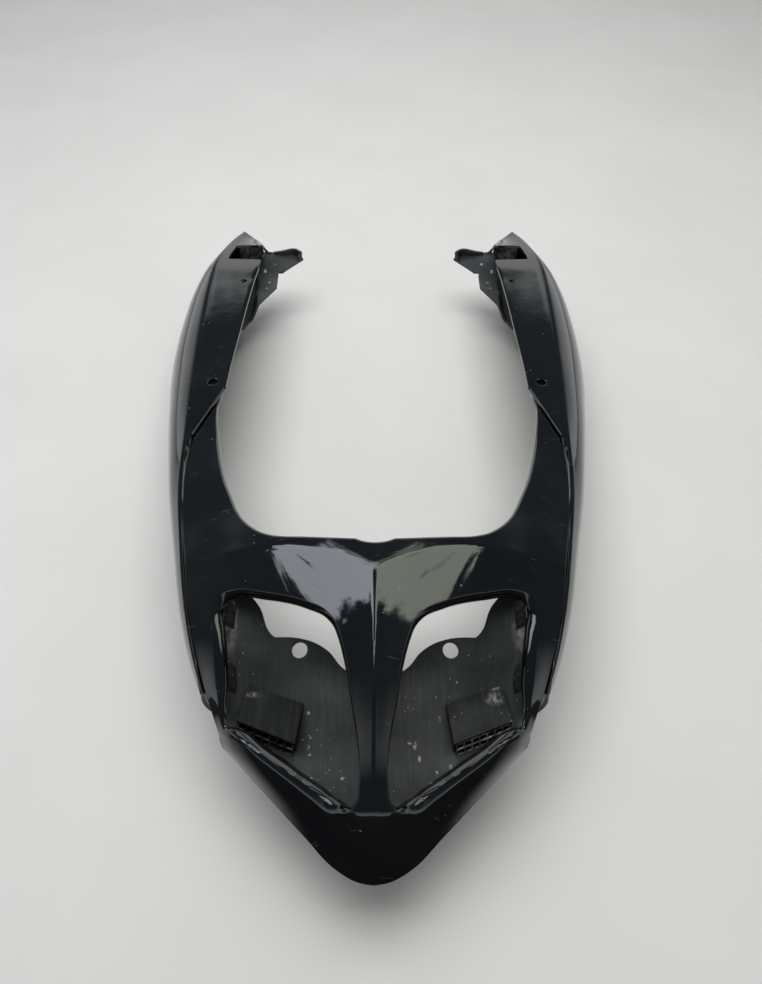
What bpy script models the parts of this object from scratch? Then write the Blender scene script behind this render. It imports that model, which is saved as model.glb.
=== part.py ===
"""Rear seat fairing of a motorcycle: centre cowl, two side panels, brackets and undertray.

Metres, +Z up, X = 0 is the plane of symmetry. The tail tip points to -Y and the two arms to +Y.
Every size below is in millimetres and is turned into metres where a body is made. Shapes are
written for the right hand side (+X) and mirrored for the left.
"""

import bpy
import bmesh
import numpy as np
from mathutils import Vector
from mathutils.bvhtree import BVHTree

MM = 0.001

# Walls and fits
COWL_WALL = 2.5
PANEL_WALL = 2.5
TRAY_WALL = 2.2
FLANGE_WALL = 2.0
BRACKET_WALL = 2.4
SEAT_GAP = 0.3
FLANGE_DROP = COWL_WALL + SEAT_GAP

# Heights between which every upright cut is made, clear above and below the whole fairing
CUT_LOW = 20.0
CUT_HIGH = 200.0

# Half way between the tail tip and the tips of the arms: this becomes Y = 0
MIDDLE_Y = -1.7

# Centre cowl, from the arms' roots at the front to the bottom edge of the tail.
# Each row runs from the plane of symmetry out to the outer edge.
COWL_ROWS = [
    [(0, 62, 98), (20, 62, 98), (45, 62, 96), (70, 62, 94), (95, 62, 91), (115, 62, 87.7),
     (127, 62, 87.6), (139, 62, 87.5)],
    [(0, 24, 101), (20, 24, 101), (45, 24, 99), (70, 24, 97), (95, 24, 93), (115, 24, 88.8),
     (126, 24, 88.4), (137, 24, 88.2)],
    [(0, -11, 105), (20, -11, 105), (45, -11, 103.5), (70, -11, 101), (94, -11, 96.5),
     (112, -11, 92), (124, -11, 90.2), (135, -11, 89.1)],
    [(0, -47, 112), (20, -47, 111.5), (45, -47, 110), (70, -47, 107), (91, -47, 102.5),
     (107, -47, 98), (121, -47, 94.6), (132.8, -47, 91.8)],
    [(0, -85, 119.5), (20, -85, 119), (42, -85, 117.5), (65, -85, 114), (84, -85, 108.5),
     (99, -85, 103.5), (114, -85, 98.5), (126.8, -85, 94)],
    [(0, -112, 126), (16, -112, 125.6), (38, -112, 124), (60, -112, 119.6), (78, -112, 114),
     (94, -108, 107), (109, -107, 101), (122.5, -106, 94.6)],
    [(0, -147, 131.5), (14, -140, 129), (36, -132, 126), (60, -125.5, 121.5), (76, -124, 115.5),
     (91, -123, 108), (105, -122.5, 101), (119, -122, 94)],
    [(0, -180, 130), (9, -178, 126), (26.5, -176, 119), (45, -168, 114.5), (67, -158, 108.5),
     (84.5, -151, 101.5), (98.5, -148, 96), (114.8, -144, 90)],
    [(0, -203, 126.5), (7, -203, 122), (17.6, -202, 115.5), (39, -196, 109), (62.5, -186, 102.5),
     (86.3, -176, 95), (96, -174, 90), (106.5, -172, 84.5)],
    [(0, -230, 119), (6, -230, 114.5), (13.6, -229, 109), (33, -222, 101), (56.5, -210, 94),
     (82, -196, 88), (91, -195, 83.5), (98.4, -196, 77)],
    [(0, -252, 109.5), (5.4, -252, 105.5), (10.7, -251, 102), (27, -244, 95), (50.5, -229, 88),
     (78, -210, 82), (85.7, -210, 77), (92, -211, 69.5)],
    [(0, -270.8, 100), (6, -270.4, 98), (15.8, -268, 94), (31.8, -257.3, 89.3), (51.4, -243, 84.3),
     (76.8, -225, 78), (83, -222, 73), (88.9, -218, 65)],
    [(0, -283, 79), (8, -282, 78.5), (18.5, -276.5, 76), (35, -264.5, 73.5), (54.4, -249, 71),
     (74.8, -232.5, 68), (81.6, -227, 66), (88.4, -220.8, 62.4)],
    [(0, -293.4, 55), (8.7, -291.9, 55), (20, -286, 55), (37, -270.5, 56), (54.4, -254, 57),
     (72, -237.5, 58.4), (79.7, -230, 59.2), (87.4, -223, 60)],
]
COWL_SHARP_ROWS = (6, 11)

# Inner edge of the U, from the root of the right arm to the plane of symmetry
OPENING_EDGE = [(115.5, 60), (120, 40), (121.3, 28), (120.3, 18), (117.6, 3), (112.6, -20), (107.9, -38),
                (102.7, -55), (96.3, -71), (90.8, -84), (84.5, -95.6), (77, -105), (69, -112),
                (61, -116.2), (42, -120.2), (22, -122.8), (11.5, -123.8)]
OPENING_FRONT = 120
OPENING_LIP_DEPTH = 5.0
OPENING_LIP_WALL = 2.0
NOTCH_DEPTH = 3.6
NOTCH_HALF = 11.5

# Eye openings in plan
EYE_EDGE = [(93.2, -152), (91.2, -149), (86, -148.6), (67, -154.5), (41.3, -164.4), (30, -171),
            (25, -177), (21.1, -187), (17.7, -200.4), (14.6, -218.9), (11.3, -237.3),
            (9.3, -257), (9.4, -264.4), (12, -266.6), (16.7, -265.6), (29, -256), (42.4, -245.5),
            (59.8, -232.4), (74.4, -221.6), (80.2, -218.6), (84.1, -217.2), (85.9, -213.5),
            (86.8, -200), (88.7, -185.6), (91.7, -166)]
EYE_RIM_DEPTH = 4.4
EYE_RIM_WALL = 1.8

# Side panel, from its rear end to the tip of the arm. Each row runs from the upper inner edge
# over the crease to the bottom edge.
PANEL_ROWS = [
    [(99, -198, 75.6), (100, -198, 75), (101.2, -198, 70), (101.6, -198, 63), (100.3, -198, 55),
     (97.6, -198, 48)],
    [(107, -175, 84.4), (108.4, -175, 83.7), (111, -175, 77), (112.5, -175, 65), (111, -175, 48),
     (107, -175, 31)],
    [(115.4, -144, 89.6), (117.2, -144, 89), (120.8, -144, 82), (123.4, -144, 66),
     (120.7, -144, 40), (114, -144, 12)],
    [(124.3, -100, 94.2), (126.5, -100, 93.5), (131.5, -100, 85), (134.8, -100, 67),
     (131.7, -100, 37), (122.8, -100, -1)],
    [(133.4, -47, 92), (136.8, -47, 91.4), (144.2, -47, 83.5), (148.7, -47, 65), (144.7, -47, 35),
     (134.8, -47, -1.5)],
    [(135.6, -11, 92), (139.4, -11, 91.8), (150.3, -11, 83), (156.5, -11, 64), (152.7, -11, 34),
     (141.8, -11, -1.5)],
    [(117.2, 24, 91.4), (141.7, 24, 91), (155.7, 24, 82), (163.7, 24, 62), (159.7, 24, 33),
     (147.8, 24, -1.5)],
    [(117.1, 50, 90.7), (143.8, 50, 90.4), (159.2, 50, 81), (168.2, 50, 61), (164.7, 50, 32),
     (151.8, 50, -1.5)],
    [(116.8, 75, 90), (146, 75, 89.8), (162.2, 75, 80), (172.4, 75, 60), (168.6, 75, 31),
     (155.7, 75, -1.5)],
    [(115.3, 120, 88.3), (149.3, 120, 88), (166.2, 120, 78.5), (176.6, 120, 59), (173.6, 120, 31),
     (160.7, 120, -1.5)],
    [(114.1, 160, 86.8), (151.6, 160, 86.5), (167.2, 160, 77.5), (177.1, 160, 59),
     (174.6, 160, 31), (161.7, 160, -1.5)],
    [(112.4, 198, 85.5), (152.8, 198, 85.3), (165.7, 198, 77.5), (174.5, 198, 60),
     (172.2, 198, 33), (159.8, 198, -0.5)],
    [(110.2, 230, 84.5), (152.2, 232, 84.3), (160.3, 231, 78), (166.8, 230, 62), (164.8, 229, 38),
     (153.9, 228, 6)],
    [(112.2, 252, 82.2), (146.3, 256, 82.8), (151.9, 254, 77.5), (156.7, 252, 64),
     (154.9, 250, 43), (146.4, 248, 18)],
    [(115.2, 270, 76.5), (139.8, 276, 81), (144, 273, 76.5), (147.5, 270, 66), (146.5, 267, 50),
     (140.5, 264, 32)],
    [(115.7, 281, 70.5), (133.5, 290, 79), (137.8, 286, 75), (140.6, 282, 67), (140, 279, 56),
     (135, 276, 44)],
]
PANEL_SHARP_COLS = (1,)
WINDOW_EDGE = [(100, 231.2), (141, 233.2), (140.4, 241), (136.6, 259), (116, 264.5), (100, 264.5)]
SEAM_EDGE = [(95, 46.4), (117.6, 46.4), (135.5, -10.6), (135.5, -14), (95, -14)]
LEDGE_HOLES = [((128.0, 53.2), 7.8), ((122.0, 195.6), 5.6)]
REBATE_REACH = 3.0

# Inner bracket at the front of each arm
BRACKET_EDGE = [(172, 246), (156, 252), (143, 262), (128, 275), (118.4, 280.4), (108, 284.5), (98, 285.5),
                (82, 288.6), (76.4, 283.2), (80, 279.6), (96, 262.6), (100, 262.4), (100.6, 242),
                (120, 212), (129, 193.5), (150, 190), (176, 190)]
BRACKET_ROWS = [
    [(174, 292, 40), (150, 292, 42), (123.5, 292, 46), (118, 292, 65), (100, 292, 59), (70, 292, 54)],
    [(174, 277, 38), (150, 277, 40), (123.5, 277, 44), (118, 277, 60), (100, 277, 55), (70, 277, 50.5)],
    [(174, 257, 36), (150, 257, 37), (123.5, 257, 39), (118, 257, 50), (100, 257, 49.5), (70, 257, 48)],
    [(174, 232, 35), (150, 232, 35), (123.5, 232, 36), (118, 232, 46), (100, 232, 46), (70, 232, 45)],
    [(174, 205, 34), (150, 205, 34), (123.5, 205, 35), (118, 205, 43), (100, 205, 44), (70, 205, 44)],
    [(174, 180, 33), (150, 180, 33), (123.5, 180, 34), (118, 180, 41), (100, 180, 43), (70, 180, 43)],
]
END_LIP_LINE = [(106, 283.3), (98, 284.3), (83, 286.8), (78.2, 283), (81, 280.2)]
END_LIP_RISE = [1.5, 4.0, 6.5, 6.5, 4.5]
END_LIP_WALL = 2.2

# Undertray
TRAY_ROWS = [
    [(0, -140, 83), (20, -140, 83), (42, -138, 83), (60, -136, 84), (73, -135, 86.5),
     (84, -134, 89.5)],
    [(0, -166, 77.5), (20, -165, 77.5), (42, -163, 77), (60, -162, 77), (72, -158, 81),
     (86, -153, 84)],
    [(0, -182, 71.5), (20, -181, 71.5), (42, -179, 72), (59, -177, 72.5), (72, -176, 75),
     (85, -173, 77)],
    [(0, -203, 68), (18, -201, 68), (34, -196, 67.5), (52, -190, 66.5), (70, -187, 67.5),
     (82.5, -188, 70.5)],
    [(0, -222, 62), (15, -219, 61.5), (34, -211, 60.5), (54, -203, 60.5), (70, -200, 62),
     (82, -202, 66)],
    [(0, -243, 58), (13, -240, 57.5), (32, -230, 57), (52, -219.5, 57.5), (68, -211.5, 59.5),
     (81, -211, 63.5)],
    [(0, -261.5, 60), (10, -259, 59.5), (29, -247.5, 59.5), (48.5, -234, 60), (65, -223, 61.5),
     (78, -217.5, 64)],
]
TRAY_SHARP_ROWS = (2, 6)
TRAY_SHARP_COLS = (3, 5)
# Where the tray's walls meet the cowl, in plan
TRAY_TOP_SIDE = [(93, -136), (98, -152), (96.4, -172), (94.8, -188), (93.2, -203), (91, -212),
                 (88.6, -217.8)]
TRAY_TOP_REAR = [(0, -278), (12, -276.3), (30.5, -264.6), (50.5, -249.4), (66.5, -237),
                 (76.5, -229), (85.5, -223)]
# How far inside the cowl's face those walls end: within the thickness of the flanges
TRAY_TOP_SIDE_DROP = 4.0
TRAY_TOP_REAR_DROP = 5.0
# Columns of the cowl that the tray's side flange lies under
SIDE_FLANGE_BAND = (11.7, 12.6)
TRAY_FRONT_EDGE = [(0, -184), (14, -183), (20.5, -179), (27, -171.6), (35.8, -166), (46.3, -162.9),
                   (61, -162.4), (64, -160), (70.5, -146), (76, -139.6)]
# Corner of the cut that frees the front edge, well outside the tray
TRAY_CUT_REACH = (130, -100)
EAR_HOLE_AT = (45.6, -169.5)
EAR_HOLE_SIZE = 9.6
HOOD_EDGE = [(74.6, -189.5), (41.6, -199.6), (44.8, -224.6), (78.2, -213.4)]
HOOD_BACK_RISE = 1.6
HOLLOW_BACK_RISE = 0.6
HOOD_MOUTH_RISE = 11.0
HOOD_WALL = 1.8
GRILLE_HEIGHT = 5.0
GRILLE_BAR = 1.2
GRILLE_CELLS = (8, 2)
GRILLE_WALL = 1.6
# Bonding blobs on the tray's side walls: middle in Y, length, thickness
BOND_SPOTS = {"front": (-154.0, 11.0, 2.6), "rear": (-187.0, 15.0, 2.2)}
BOND_BAND = (9.9, 11.0)

# Colour, roughness and clear coat of each kind of plastic
FINISHES = {
    "gloss_black": ((0.012, 0.013, 0.015), 0.12, 1.0),
    "dull_black": ((0.032, 0.035, 0.037), 0.48, 0.0),
    "dull_grey": ((0.110, 0.115, 0.115), 0.55, 0.0),
    "rough_black": ((0.008, 0.008, 0.008), 0.75, 0.0),
}


def clear_scene():
    for item in list(bpy.data.objects):
        bpy.data.objects.remove(item, do_unlink=True)


def plastic(kind, name):
    """A material of one of the FINISHES, for the sub-part called name."""
    colour, roughness, coat = FINISHES[kind]
    made = bpy.data.materials.new(kind + "_" + name)
    made.use_nodes = True
    shader = made.node_tree.nodes["Principled BSDF"]
    shader.inputs["Base Color"].default_value = (*colour, 1.0)
    shader.inputs["Roughness"].default_value = roughness
    shader.inputs["Coat Weight"].default_value = coat
    return made


def metres(point):
    return Vector((point[0], point[1] - MIDDLE_Y, point[2])) * MM


def hermite(points, steps):
    """A smooth run through points; steps is the number of pieces made of each gap."""
    gaps = np.maximum(np.linalg.norm(np.diff(points, axis=0), axis=1), 1e-6)
    slopes = np.diff(points, axis=0) / gaps[:, None]
    if len(points) == 2:
        tangents = np.concatenate([slopes, slopes])
    else:
        before = gaps[:-1, None]
        after = gaps[1:, None]
        tangents = np.empty_like(points)
        tangents[1:-1] = (slopes[:-1] * after + slopes[1:] * before) / (before + after)
        tangents[0] = 1.5 * slopes[0] - 0.5 * tangents[1]
        tangents[-1] = 1.5 * slopes[-1] - 0.5 * tangents[-2]
    made = [points[0]]
    for index, gap in enumerate(gaps):
        for t in np.arange(1, steps + 1) / steps:
            held = points[index] * (2 * t**3 - 3 * t**2 + 1) + points[index + 1] * (3 * t**2 - 2 * t**3)
            leave = tangents[index] * (t**3 - 2 * t**2 + t)
            arrive = tangents[index + 1] * (t**3 - t**2)
            made.append(held + (leave + arrive) * gap)
    return np.array(made)


def smooth_run(points, steps, sharp=()):
    """A smooth run that may kink at the points numbered in sharp."""
    points = np.asarray(points, dtype=float)
    marks = [0, *sharp, len(points) - 1]
    made = [points[:1]]
    for start, stop in zip(marks[:-1], marks[1:]):
        if stop > start:
            made.append(hermite(points[start:stop + 1], steps)[1:])
    return np.concatenate(made)


def smooth_sheet(rows, row_steps, col_steps, sharp_rows=(), sharp_cols=()):
    across = np.array([smooth_run(row, col_steps, sharp_cols) for row in rows])
    along = [smooth_run(across[:, i], row_steps, sharp_rows) for i in range(across.shape[1])]
    return np.array(along).transpose(1, 0, 2)


def smooth_outline(points, steps):
    """A closed smooth outline through points in plan."""
    loop = np.array([(*p, 0.0) for p in [*points[-2:], *points, *points[:3]]])
    made = smooth_run(loop, steps)
    return made[2 * steps:(2 + len(points)) * steps, :2]


def both_sides(sheet):
    left = sheet[:, :0:-1] * np.array([-1.0, 1.0, 1.0])
    return np.concatenate([left, sheet], axis=1)


def on_side(sheet, side):
    return sheet * np.array([float(side), 1.0, 1.0])


def normals_of(sheet):
    """Unit normals of a sheet, on the side that looks up along its first columns."""
    normals = np.cross(np.gradient(sheet, axis=0), np.gradient(sheet, axis=1))
    normals /= np.linalg.norm(normals, axis=2)[:, :, None]
    return -normals if normals[:, :2, 2].sum() < 0 else normals


def below(sheet, drop):
    return sheet - normals_of(sheet) * drop


def new_object(name, work, material=None):
    bmesh.ops.triangulate(work, faces=work.faces, quad_method="SHORT_EDGE")
    bmesh.ops.recalc_face_normals(work, faces=work.faces)
    mesh = bpy.data.meshes.new(name)
    work.to_mesh(mesh)
    work.free()
    made = bpy.data.objects.new(name, mesh)
    bpy.context.scene.collection.objects.link(made)
    if material is not None:
        mesh.materials.append(material)
    return made


def body_between(name, top, bottom, material=None):
    """A closed body between two sheets of the same layout."""
    rows, cols = top.shape[:2]
    work = bmesh.new()
    upper = [[work.verts.new(metres(top[r, c])) for c in range(cols)] for r in range(rows)]
    lower = [[work.verts.new(metres(bottom[r, c])) for c in range(cols)] for r in range(rows)]
    for r in range(rows - 1):
        for c in range(cols - 1):
            work.faces.new((upper[r][c], upper[r][c + 1], upper[r + 1][c + 1], upper[r + 1][c]))
            work.faces.new((lower[r][c], lower[r + 1][c], lower[r + 1][c + 1], lower[r][c + 1]))
    for r in range(rows - 1):
        for c in (0, cols - 1):
            work.faces.new((upper[r][c], upper[r + 1][c], lower[r + 1][c], lower[r][c]))
    for c in range(cols - 1):
        for r in (0, rows - 1):
            work.faces.new((upper[r][c], upper[r][c + 1], lower[r][c + 1], lower[r][c]))
    return new_object(name, work, material)


def prism(name, outline, low, high):
    """A solid with a flat outline between two heights."""
    work = bmesh.new()
    face = work.faces.new([work.verts.new(metres((x, y, low))) for x, y in outline])
    grown = bmesh.ops.extrude_face_region(work, geom=[face])
    moved = [item for item in grown["geom"] if isinstance(item, bmesh.types.BMVert)]
    bmesh.ops.translate(work, verts=moved, vec=(0, 0, (high - low) * MM))
    return new_object(name, work)


def drill(name, centre, size):
    """An upright round cutter."""
    work = bmesh.new()
    bmesh.ops.create_cone(work, cap_ends=True, segments=20, radius1=size / 2 * MM,
                          radius2=size / 2 * MM, depth=(CUT_HIGH - CUT_LOW) * MM)
    bmesh.ops.translate(work, verts=work.verts, vec=metres((*centre, (CUT_LOW + CUT_HIGH) / 2)))
    return new_object(name, work)


def beside(outline, shift, closed):
    """The outline moved in plan to the right of its direction of travel."""
    points = np.asarray(outline, dtype=float)
    ahead = np.roll(points, -1, axis=0)
    behind = np.roll(points, 1, axis=0)
    if not closed:
        ahead[-1] = points[-1]
        behind[0] = points[0]
    travel = (ahead - behind) / np.linalg.norm(ahead - behind, axis=1)[:, None]
    return points + np.stack([travel[:, 1], -travel[:, 0]], axis=1) * shift


def curb(name, first, last, first_tops, last_tops, bottoms, closed):
    """A low wall between two lines in plan that run side by side."""
    work = bmesh.new()
    rings = []
    for p, q, p_top, q_top, low in zip(first, last, first_tops, last_tops, bottoms):
        corners = [(*p, p_top), (*q, q_top), (*q, low), (*p, low)]
        rings.append([work.verts.new(metres(corner)) for corner in corners])
    pairs = list(zip(rings, rings[1:] + rings[:1]))
    for here, there in pairs if closed else pairs[:-1]:
        for k in range(4):
            work.faces.new((here[k], here[(k + 1) % 4], there[(k + 1) % 4], there[k]))
    if not closed:
        work.faces.new(rings[0])
        work.faces.new(rings[-1])
    return new_object(name, work)


def rim(name, outline, near, far, depth, closed):
    """A curb that hangs from inside the cowl's wall."""
    first = beside(outline, near, closed)
    last = beside(outline, far, closed)
    first_tops = [drop_onto(COWL_TREE, *p).z - 0.8 for p in first]
    last_tops = [drop_onto(COWL_TREE, *p).z - 0.8 for p in last]
    bottoms = [min(tops) - depth for tops in zip(first_tops, last_tops)]
    return curb(name, first, last, first_tops, last_tops, bottoms, closed)


def combine(target, other, how):
    step = target.modifiers.new(how.lower(), "BOOLEAN")
    step.operation = how
    step.solver = "EXACT"
    step.object = other
    other.hide_render = True
    other.display_type = "WIRE"


def together(name, bodies):
    """Several bodies that stand clear of each other, as one cutter or one addition."""
    work = bmesh.new()
    for body in bodies:
        work.from_mesh(body.data)
        bpy.data.objects.remove(body, do_unlink=True)
    return new_object(name, work)


def tree_of(sheet):
    rows, cols = sheet.shape[:2]
    corners = [Vector(p) for p in sheet.reshape(-1, 3)]
    faces = []
    for r in range(rows - 1):
        for c in range(cols - 1):
            first = r * cols + c
            faces.append((first, first + 1, first + cols + 1, first + cols))
    return BVHTree.FromPolygons(corners, faces)


def drop_onto(tree, x, y, drop=0.0):
    """The point of a sheet straight below (x, y), taken in from the sheet by drop."""
    place, normal, _, _ = tree.ray_cast(Vector((x, y, 2 * CUT_HIGH)), Vector((0, 0, -1)))
    upward = normal if normal.z > 0 else -normal
    return place - upward * drop


def opening_outline():
    """The whole edge of the U with its shallow notch, from the right arm to the left arm."""
    half = [tuple(p[:2]) for p in smooth_run([(*p, 0.0) for p in OPENING_EDGE], 2)]
    notch = []
    for angle in np.linspace(0.0, np.pi, 9)[1:-1]:
        notch.append((NOTCH_HALF * np.cos(angle), half[-1][1] - NOTCH_DEPTH * np.sin(angle)))
    return half + notch + [(-x, y) for x, y in reversed(half)]


def make_cowl():
    """Moulded shell with a turned-down lip round the U and a rim round each eye."""
    cowl = body_between("tail_cowl", COWL_SHEET, below(COWL_SHEET, COWL_WALL),
                        plastic("gloss_black", "tail_cowl"))
    edge = opening_outline()
    ends = [(-edge[0][0], OPENING_FRONT), (edge[0][0], OPENING_FRONT)]
    borders = [rim("opening_lip", edge, -0.4, OPENING_LIP_WALL, OPENING_LIP_DEPTH, False)]
    cutters = [prism("opening_cutter", ends + edge, CUT_LOW, CUT_HIGH)]
    centre, size = LEDGE_HOLES[0]
    for side in (1, -1):
        eye = smooth_outline(EYE_EDGE, 1) * np.array([side, 1.0])
        borders.append(rim("eye_rim", eye, 0.4 * side, -EYE_RIM_WALL * side, EYE_RIM_DEPTH, True))
        cutters.append(prism("eye_cutter", eye, CUT_LOW, CUT_HIGH))
        cutters.append(drill("root_hole", (side * centre[0], centre[1]), size))
    combine(cowl, together("cowl_borders", borders), "UNION")
    combine(cowl, together("cowl_cutters", cutters), "DIFFERENCE")
    return cowl


def make_panel(name, side):
    """Side moulding: ledge, bulged wall and a rebate that carries the cowl's edge."""
    sheet = on_side(PANEL_SHEET, side)
    panel = body_between(name, sheet, below(sheet, PANEL_WALL), plastic("gloss_black", name))
    middle = COWL_SHEET.shape[1] // 2
    last = 2 * middle if side > 0 else 0
    rows = slice(8, 18)
    decks = []
    for drop in (FLANGE_DROP, FLANGE_DROP + FLANGE_WALL):
        deck = below(COWL_SHEET, drop)[rows]
        run = deck[:, last] - deck[:, last - side]
        reach = run / np.linalg.norm(run, axis=1)[:, None] * REBATE_REACH
        decks.append(np.stack([deck[:, last - side], deck[:, last], deck[:, last] + reach], axis=1))
    combine(panel, body_between("rebate", *decks), "UNION")
    ground = [(-300, -400), (300, -400), (300, 400), (-300, 400)]
    cutters = [prism("ground_cutter", ground, -30, 0)]
    for outline in (WINDOW_EDGE, SEAM_EDGE):
        flipped = [(side * x, y) for x, y in outline]
        cutters.append(prism("ledge_cutter", flipped, 66, 120))
    for centre, size in LEDGE_HOLES:
        cutters.append(drill("ledge_hole", (side * centre[0], centre[1]), size))
    combine(panel, together("panel_cutters", cutters), "DIFFERENCE")
    return panel


def make_bracket(name, side):
    """Stepped plate in the front of an arm, bonded to the panel's wall by a flange."""
    sheet = on_side(smooth_sheet(BRACKET_ROWS, 1, 1), side)
    bracket = body_between(name, sheet, below(sheet, BRACKET_WALL), plastic("dull_black", name))
    outline = [(side * x, y) for x, y in BRACKET_EDGE]
    combine(bracket, prism("bracket_outline", outline, 10, 120), "INTERSECT")
    panel = on_side(PANEL_SHEET, side)
    room = body_between("panel_room", below(panel, -20), below(panel, PANEL_WALL + SEAT_GAP))
    combine(bracket, room, "DIFFERENCE")
    patch = (slice(22, 27), slice(6, 9))
    outer = below(panel, PANEL_WALL + SEAT_GAP)[patch]
    inner = below(panel, PANEL_WALL + SEAT_GAP + FLANGE_WALL)[patch]
    flange = body_between("bond_flange", outer, inner)
    line = [(side * x, y) for x, y in END_LIP_LINE]
    tree = tree_of(sheet)
    seats = [drop_onto(tree, x, y).z for x, y in line]
    tops = [seat + rise for seat, rise in zip(seats, END_LIP_RISE)]
    bottoms = [seat - 1.2 for seat in seats]
    sides = [beside(line, shift, False) for shift in (-END_LIP_WALL / 2, END_LIP_WALL / 2)]
    lip = curb("end_lip", *sides, tops, tops, bottoms, False)
    combine(bracket, together("bracket_additions", [flange, lip]), "UNION")
    return bracket


def tray_sheet():
    rows = []
    for row, at in zip(TRAY_ROWS, TRAY_TOP_SIDE):
        rows.append([*row, drop_onto(COWL_TREE, *at, TRAY_TOP_SIDE_DROP)])
    rows.append([drop_onto(COWL_TREE, x + 0.01, y, TRAY_TOP_REAR_DROP) for x, y in TRAY_TOP_REAR])
    rows[-1][0][0] = 0.0
    half = smooth_sheet(rows, 2, 2, TRAY_SHARP_ROWS, TRAY_SHARP_COLS)
    return both_sides(half)


def hood_sheets(side, margin, beyond, base, back_rise, mouth_rise):
    """The roof of a hood and the line of the floor below it, base above the floor."""
    corners = [np.array((side * x, y)) for x, y in HOOD_EDGE]
    back_out, back_in, mouth_in, mouth_out = corners
    across = (back_in - back_out) / np.linalg.norm(back_in - back_out) * margin
    down = (mouth_in - back_in) / np.linalg.norm(mouth_in - back_in)
    moved = [back_out + across + down * margin, back_in - across + down * margin,
             mouth_in - across + down * beyond, mouth_out + across + down * beyond]
    rises = [back_rise, back_rise, mouth_rise, mouth_rise]
    roof = [np.array((*p, drop_onto(TRAY_TREE, *at).z + rise))
            for p, at, rise in zip(moved, corners, rises)]
    top = np.empty((5, 5, 3))
    for i, u in enumerate(np.linspace(0.0, 1.0, 5)):
        for j, v in enumerate(np.linspace(0.0, 1.0, 5)):
            top[i, j] = (roof[0] * (1 - u) + roof[3] * u) * (1 - v) + (roof[1] * (1 - u) + roof[2] * u) * v
    floor = top.copy()
    for spot in floor.reshape(-1, 3):
        spot[2] = drop_onto(TRAY_TREE, spot[0], spot[1]).z + base
    return top, floor


def make_tray():
    """Tub under the eyes with two ears, two hoods and flanges bonded under the cowl."""
    tray = body_between("undertray", TRAY_SHEET, below(TRAY_SHEET, TRAY_WALL),
                        plastic("dull_black", "undertray"))
    upper = below(COWL_SHEET, FLANGE_DROP)
    lower = below(COWL_SHEET, FLANGE_DROP + FLANGE_WALL)
    middle = COWL_SHEET.shape[1] // 2
    patch = (slice(23, 25), slice(middle - 11, middle + 12))
    additions = [body_between("rear_flange", upper[patch], lower[patch])]
    front = list(TRAY_FRONT_EDGE)
    half = front + [(TRAY_CUT_REACH[0], front[-1][1]), TRAY_CUT_REACH]
    outline = half + [(-x, y) for x, y in reversed(half[1:])]
    cutters = [prism("front_cutter", outline, CUT_LOW, CUT_HIGH)]
    for side in (1, -1):
        cols = middle + side * np.array([SIDE_FLANGE_BAND[0], 12.0, SIDE_FLANGE_BAND[1]])
        decks = [sampled(deck, range(13, 17), cols) for deck in (upper, lower)]
        additions.append(body_between("side_flange", *decks))
        hood = hood_sheets(side, 0, 0, -1.2, HOOD_BACK_RISE, HOOD_MOUTH_RISE)
        additions.append(body_between("hood", *hood))
        hollow = hood_sheets(side, HOOD_WALL, 3, 0.05, HOLLOW_BACK_RISE, HOOD_MOUTH_RISE - HOOD_WALL)
        cutters.append(body_between("hood_hollow", *hollow))
        cutters.append(drill("ear_hole", (side * EAR_HOLE_AT[0], EAR_HOLE_AT[1]), EAR_HOLE_SIZE))
    combine(tray, together("tray_additions", additions), "UNION")
    combine(tray, together("tray_cutters", cutters), "DIFFERENCE")
    return tray


def bar_marks(length, bar, cells):
    pitch = (length - bar) / cells
    return [k * pitch + shift for k in range(cells + 1) for shift in (0.0, bar)]


def make_grille(name, side):
    """Small square-celled grid standing in the mouth of a hood."""
    floor = hood_sheets(side, HOOD_WALL + 2 * SEAT_GAP, -HOOD_WALL - GRILLE_WALL, 0, 0, 0)[1]
    start, stop = floor[4, 4].copy(), floor[4, 0].copy()
    along = (stop - start) / np.linalg.norm(stop - start)
    inward = np.array([-along[1], along[0], 0.0]) * side
    lift = 0.0
    for share in np.linspace(0.0, 1.0, 9):
        for depth in (0.0, GRILLE_WALL):
            spot = start + (stop - start) * share + inward * depth
            lift = max(lift, drop_onto(TRAY_TREE, *spot[:2]).z - spot[2])
    start[2] += lift + SEAT_GAP
    stop[2] += lift + SEAT_GAP
    us = bar_marks(np.linalg.norm(stop - start), GRILLE_BAR, GRILLE_CELLS[0])
    vs = bar_marks(GRILLE_HEIGHT, GRILLE_BAR, GRILLE_CELLS[1])
    work = bmesh.new()
    layers = []
    for depth in (0.0, GRILLE_WALL):
        layers.append([[work.verts.new(metres(start + along * u + inward * depth + (0, 0, v)))
                        for v in vs] for u in us])
    near, far = layers
    last_i, last_j = len(us) - 1, len(vs) - 1

    def is_bar(i, j):
        return 0 <= i < last_i and 0 <= j < last_j and not (i % 2 and j % 2)

    for i in range(last_i):
        for j in range(last_j):
            if not is_bar(i, j):
                continue
            loop = [(i, j), (i + 1, j), (i + 1, j + 1), (i, j + 1)]
            work.faces.new([near[a][b] for a, b in loop])
            work.faces.new([far[a][b] for a, b in loop])
            around = [(i, j - 1), (i + 1, j), (i, j + 1), (i - 1, j)]
            for k in range(4):
                if not is_bar(*around[k]):
                    (a, b), (c, d) = loop[k], loop[(k + 1) % 4]
                    work.faces.new((near[a][b], near[c][d], far[c][d], far[a][b]))
    return new_object(name, work, plastic("dull_grey", name))


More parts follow.
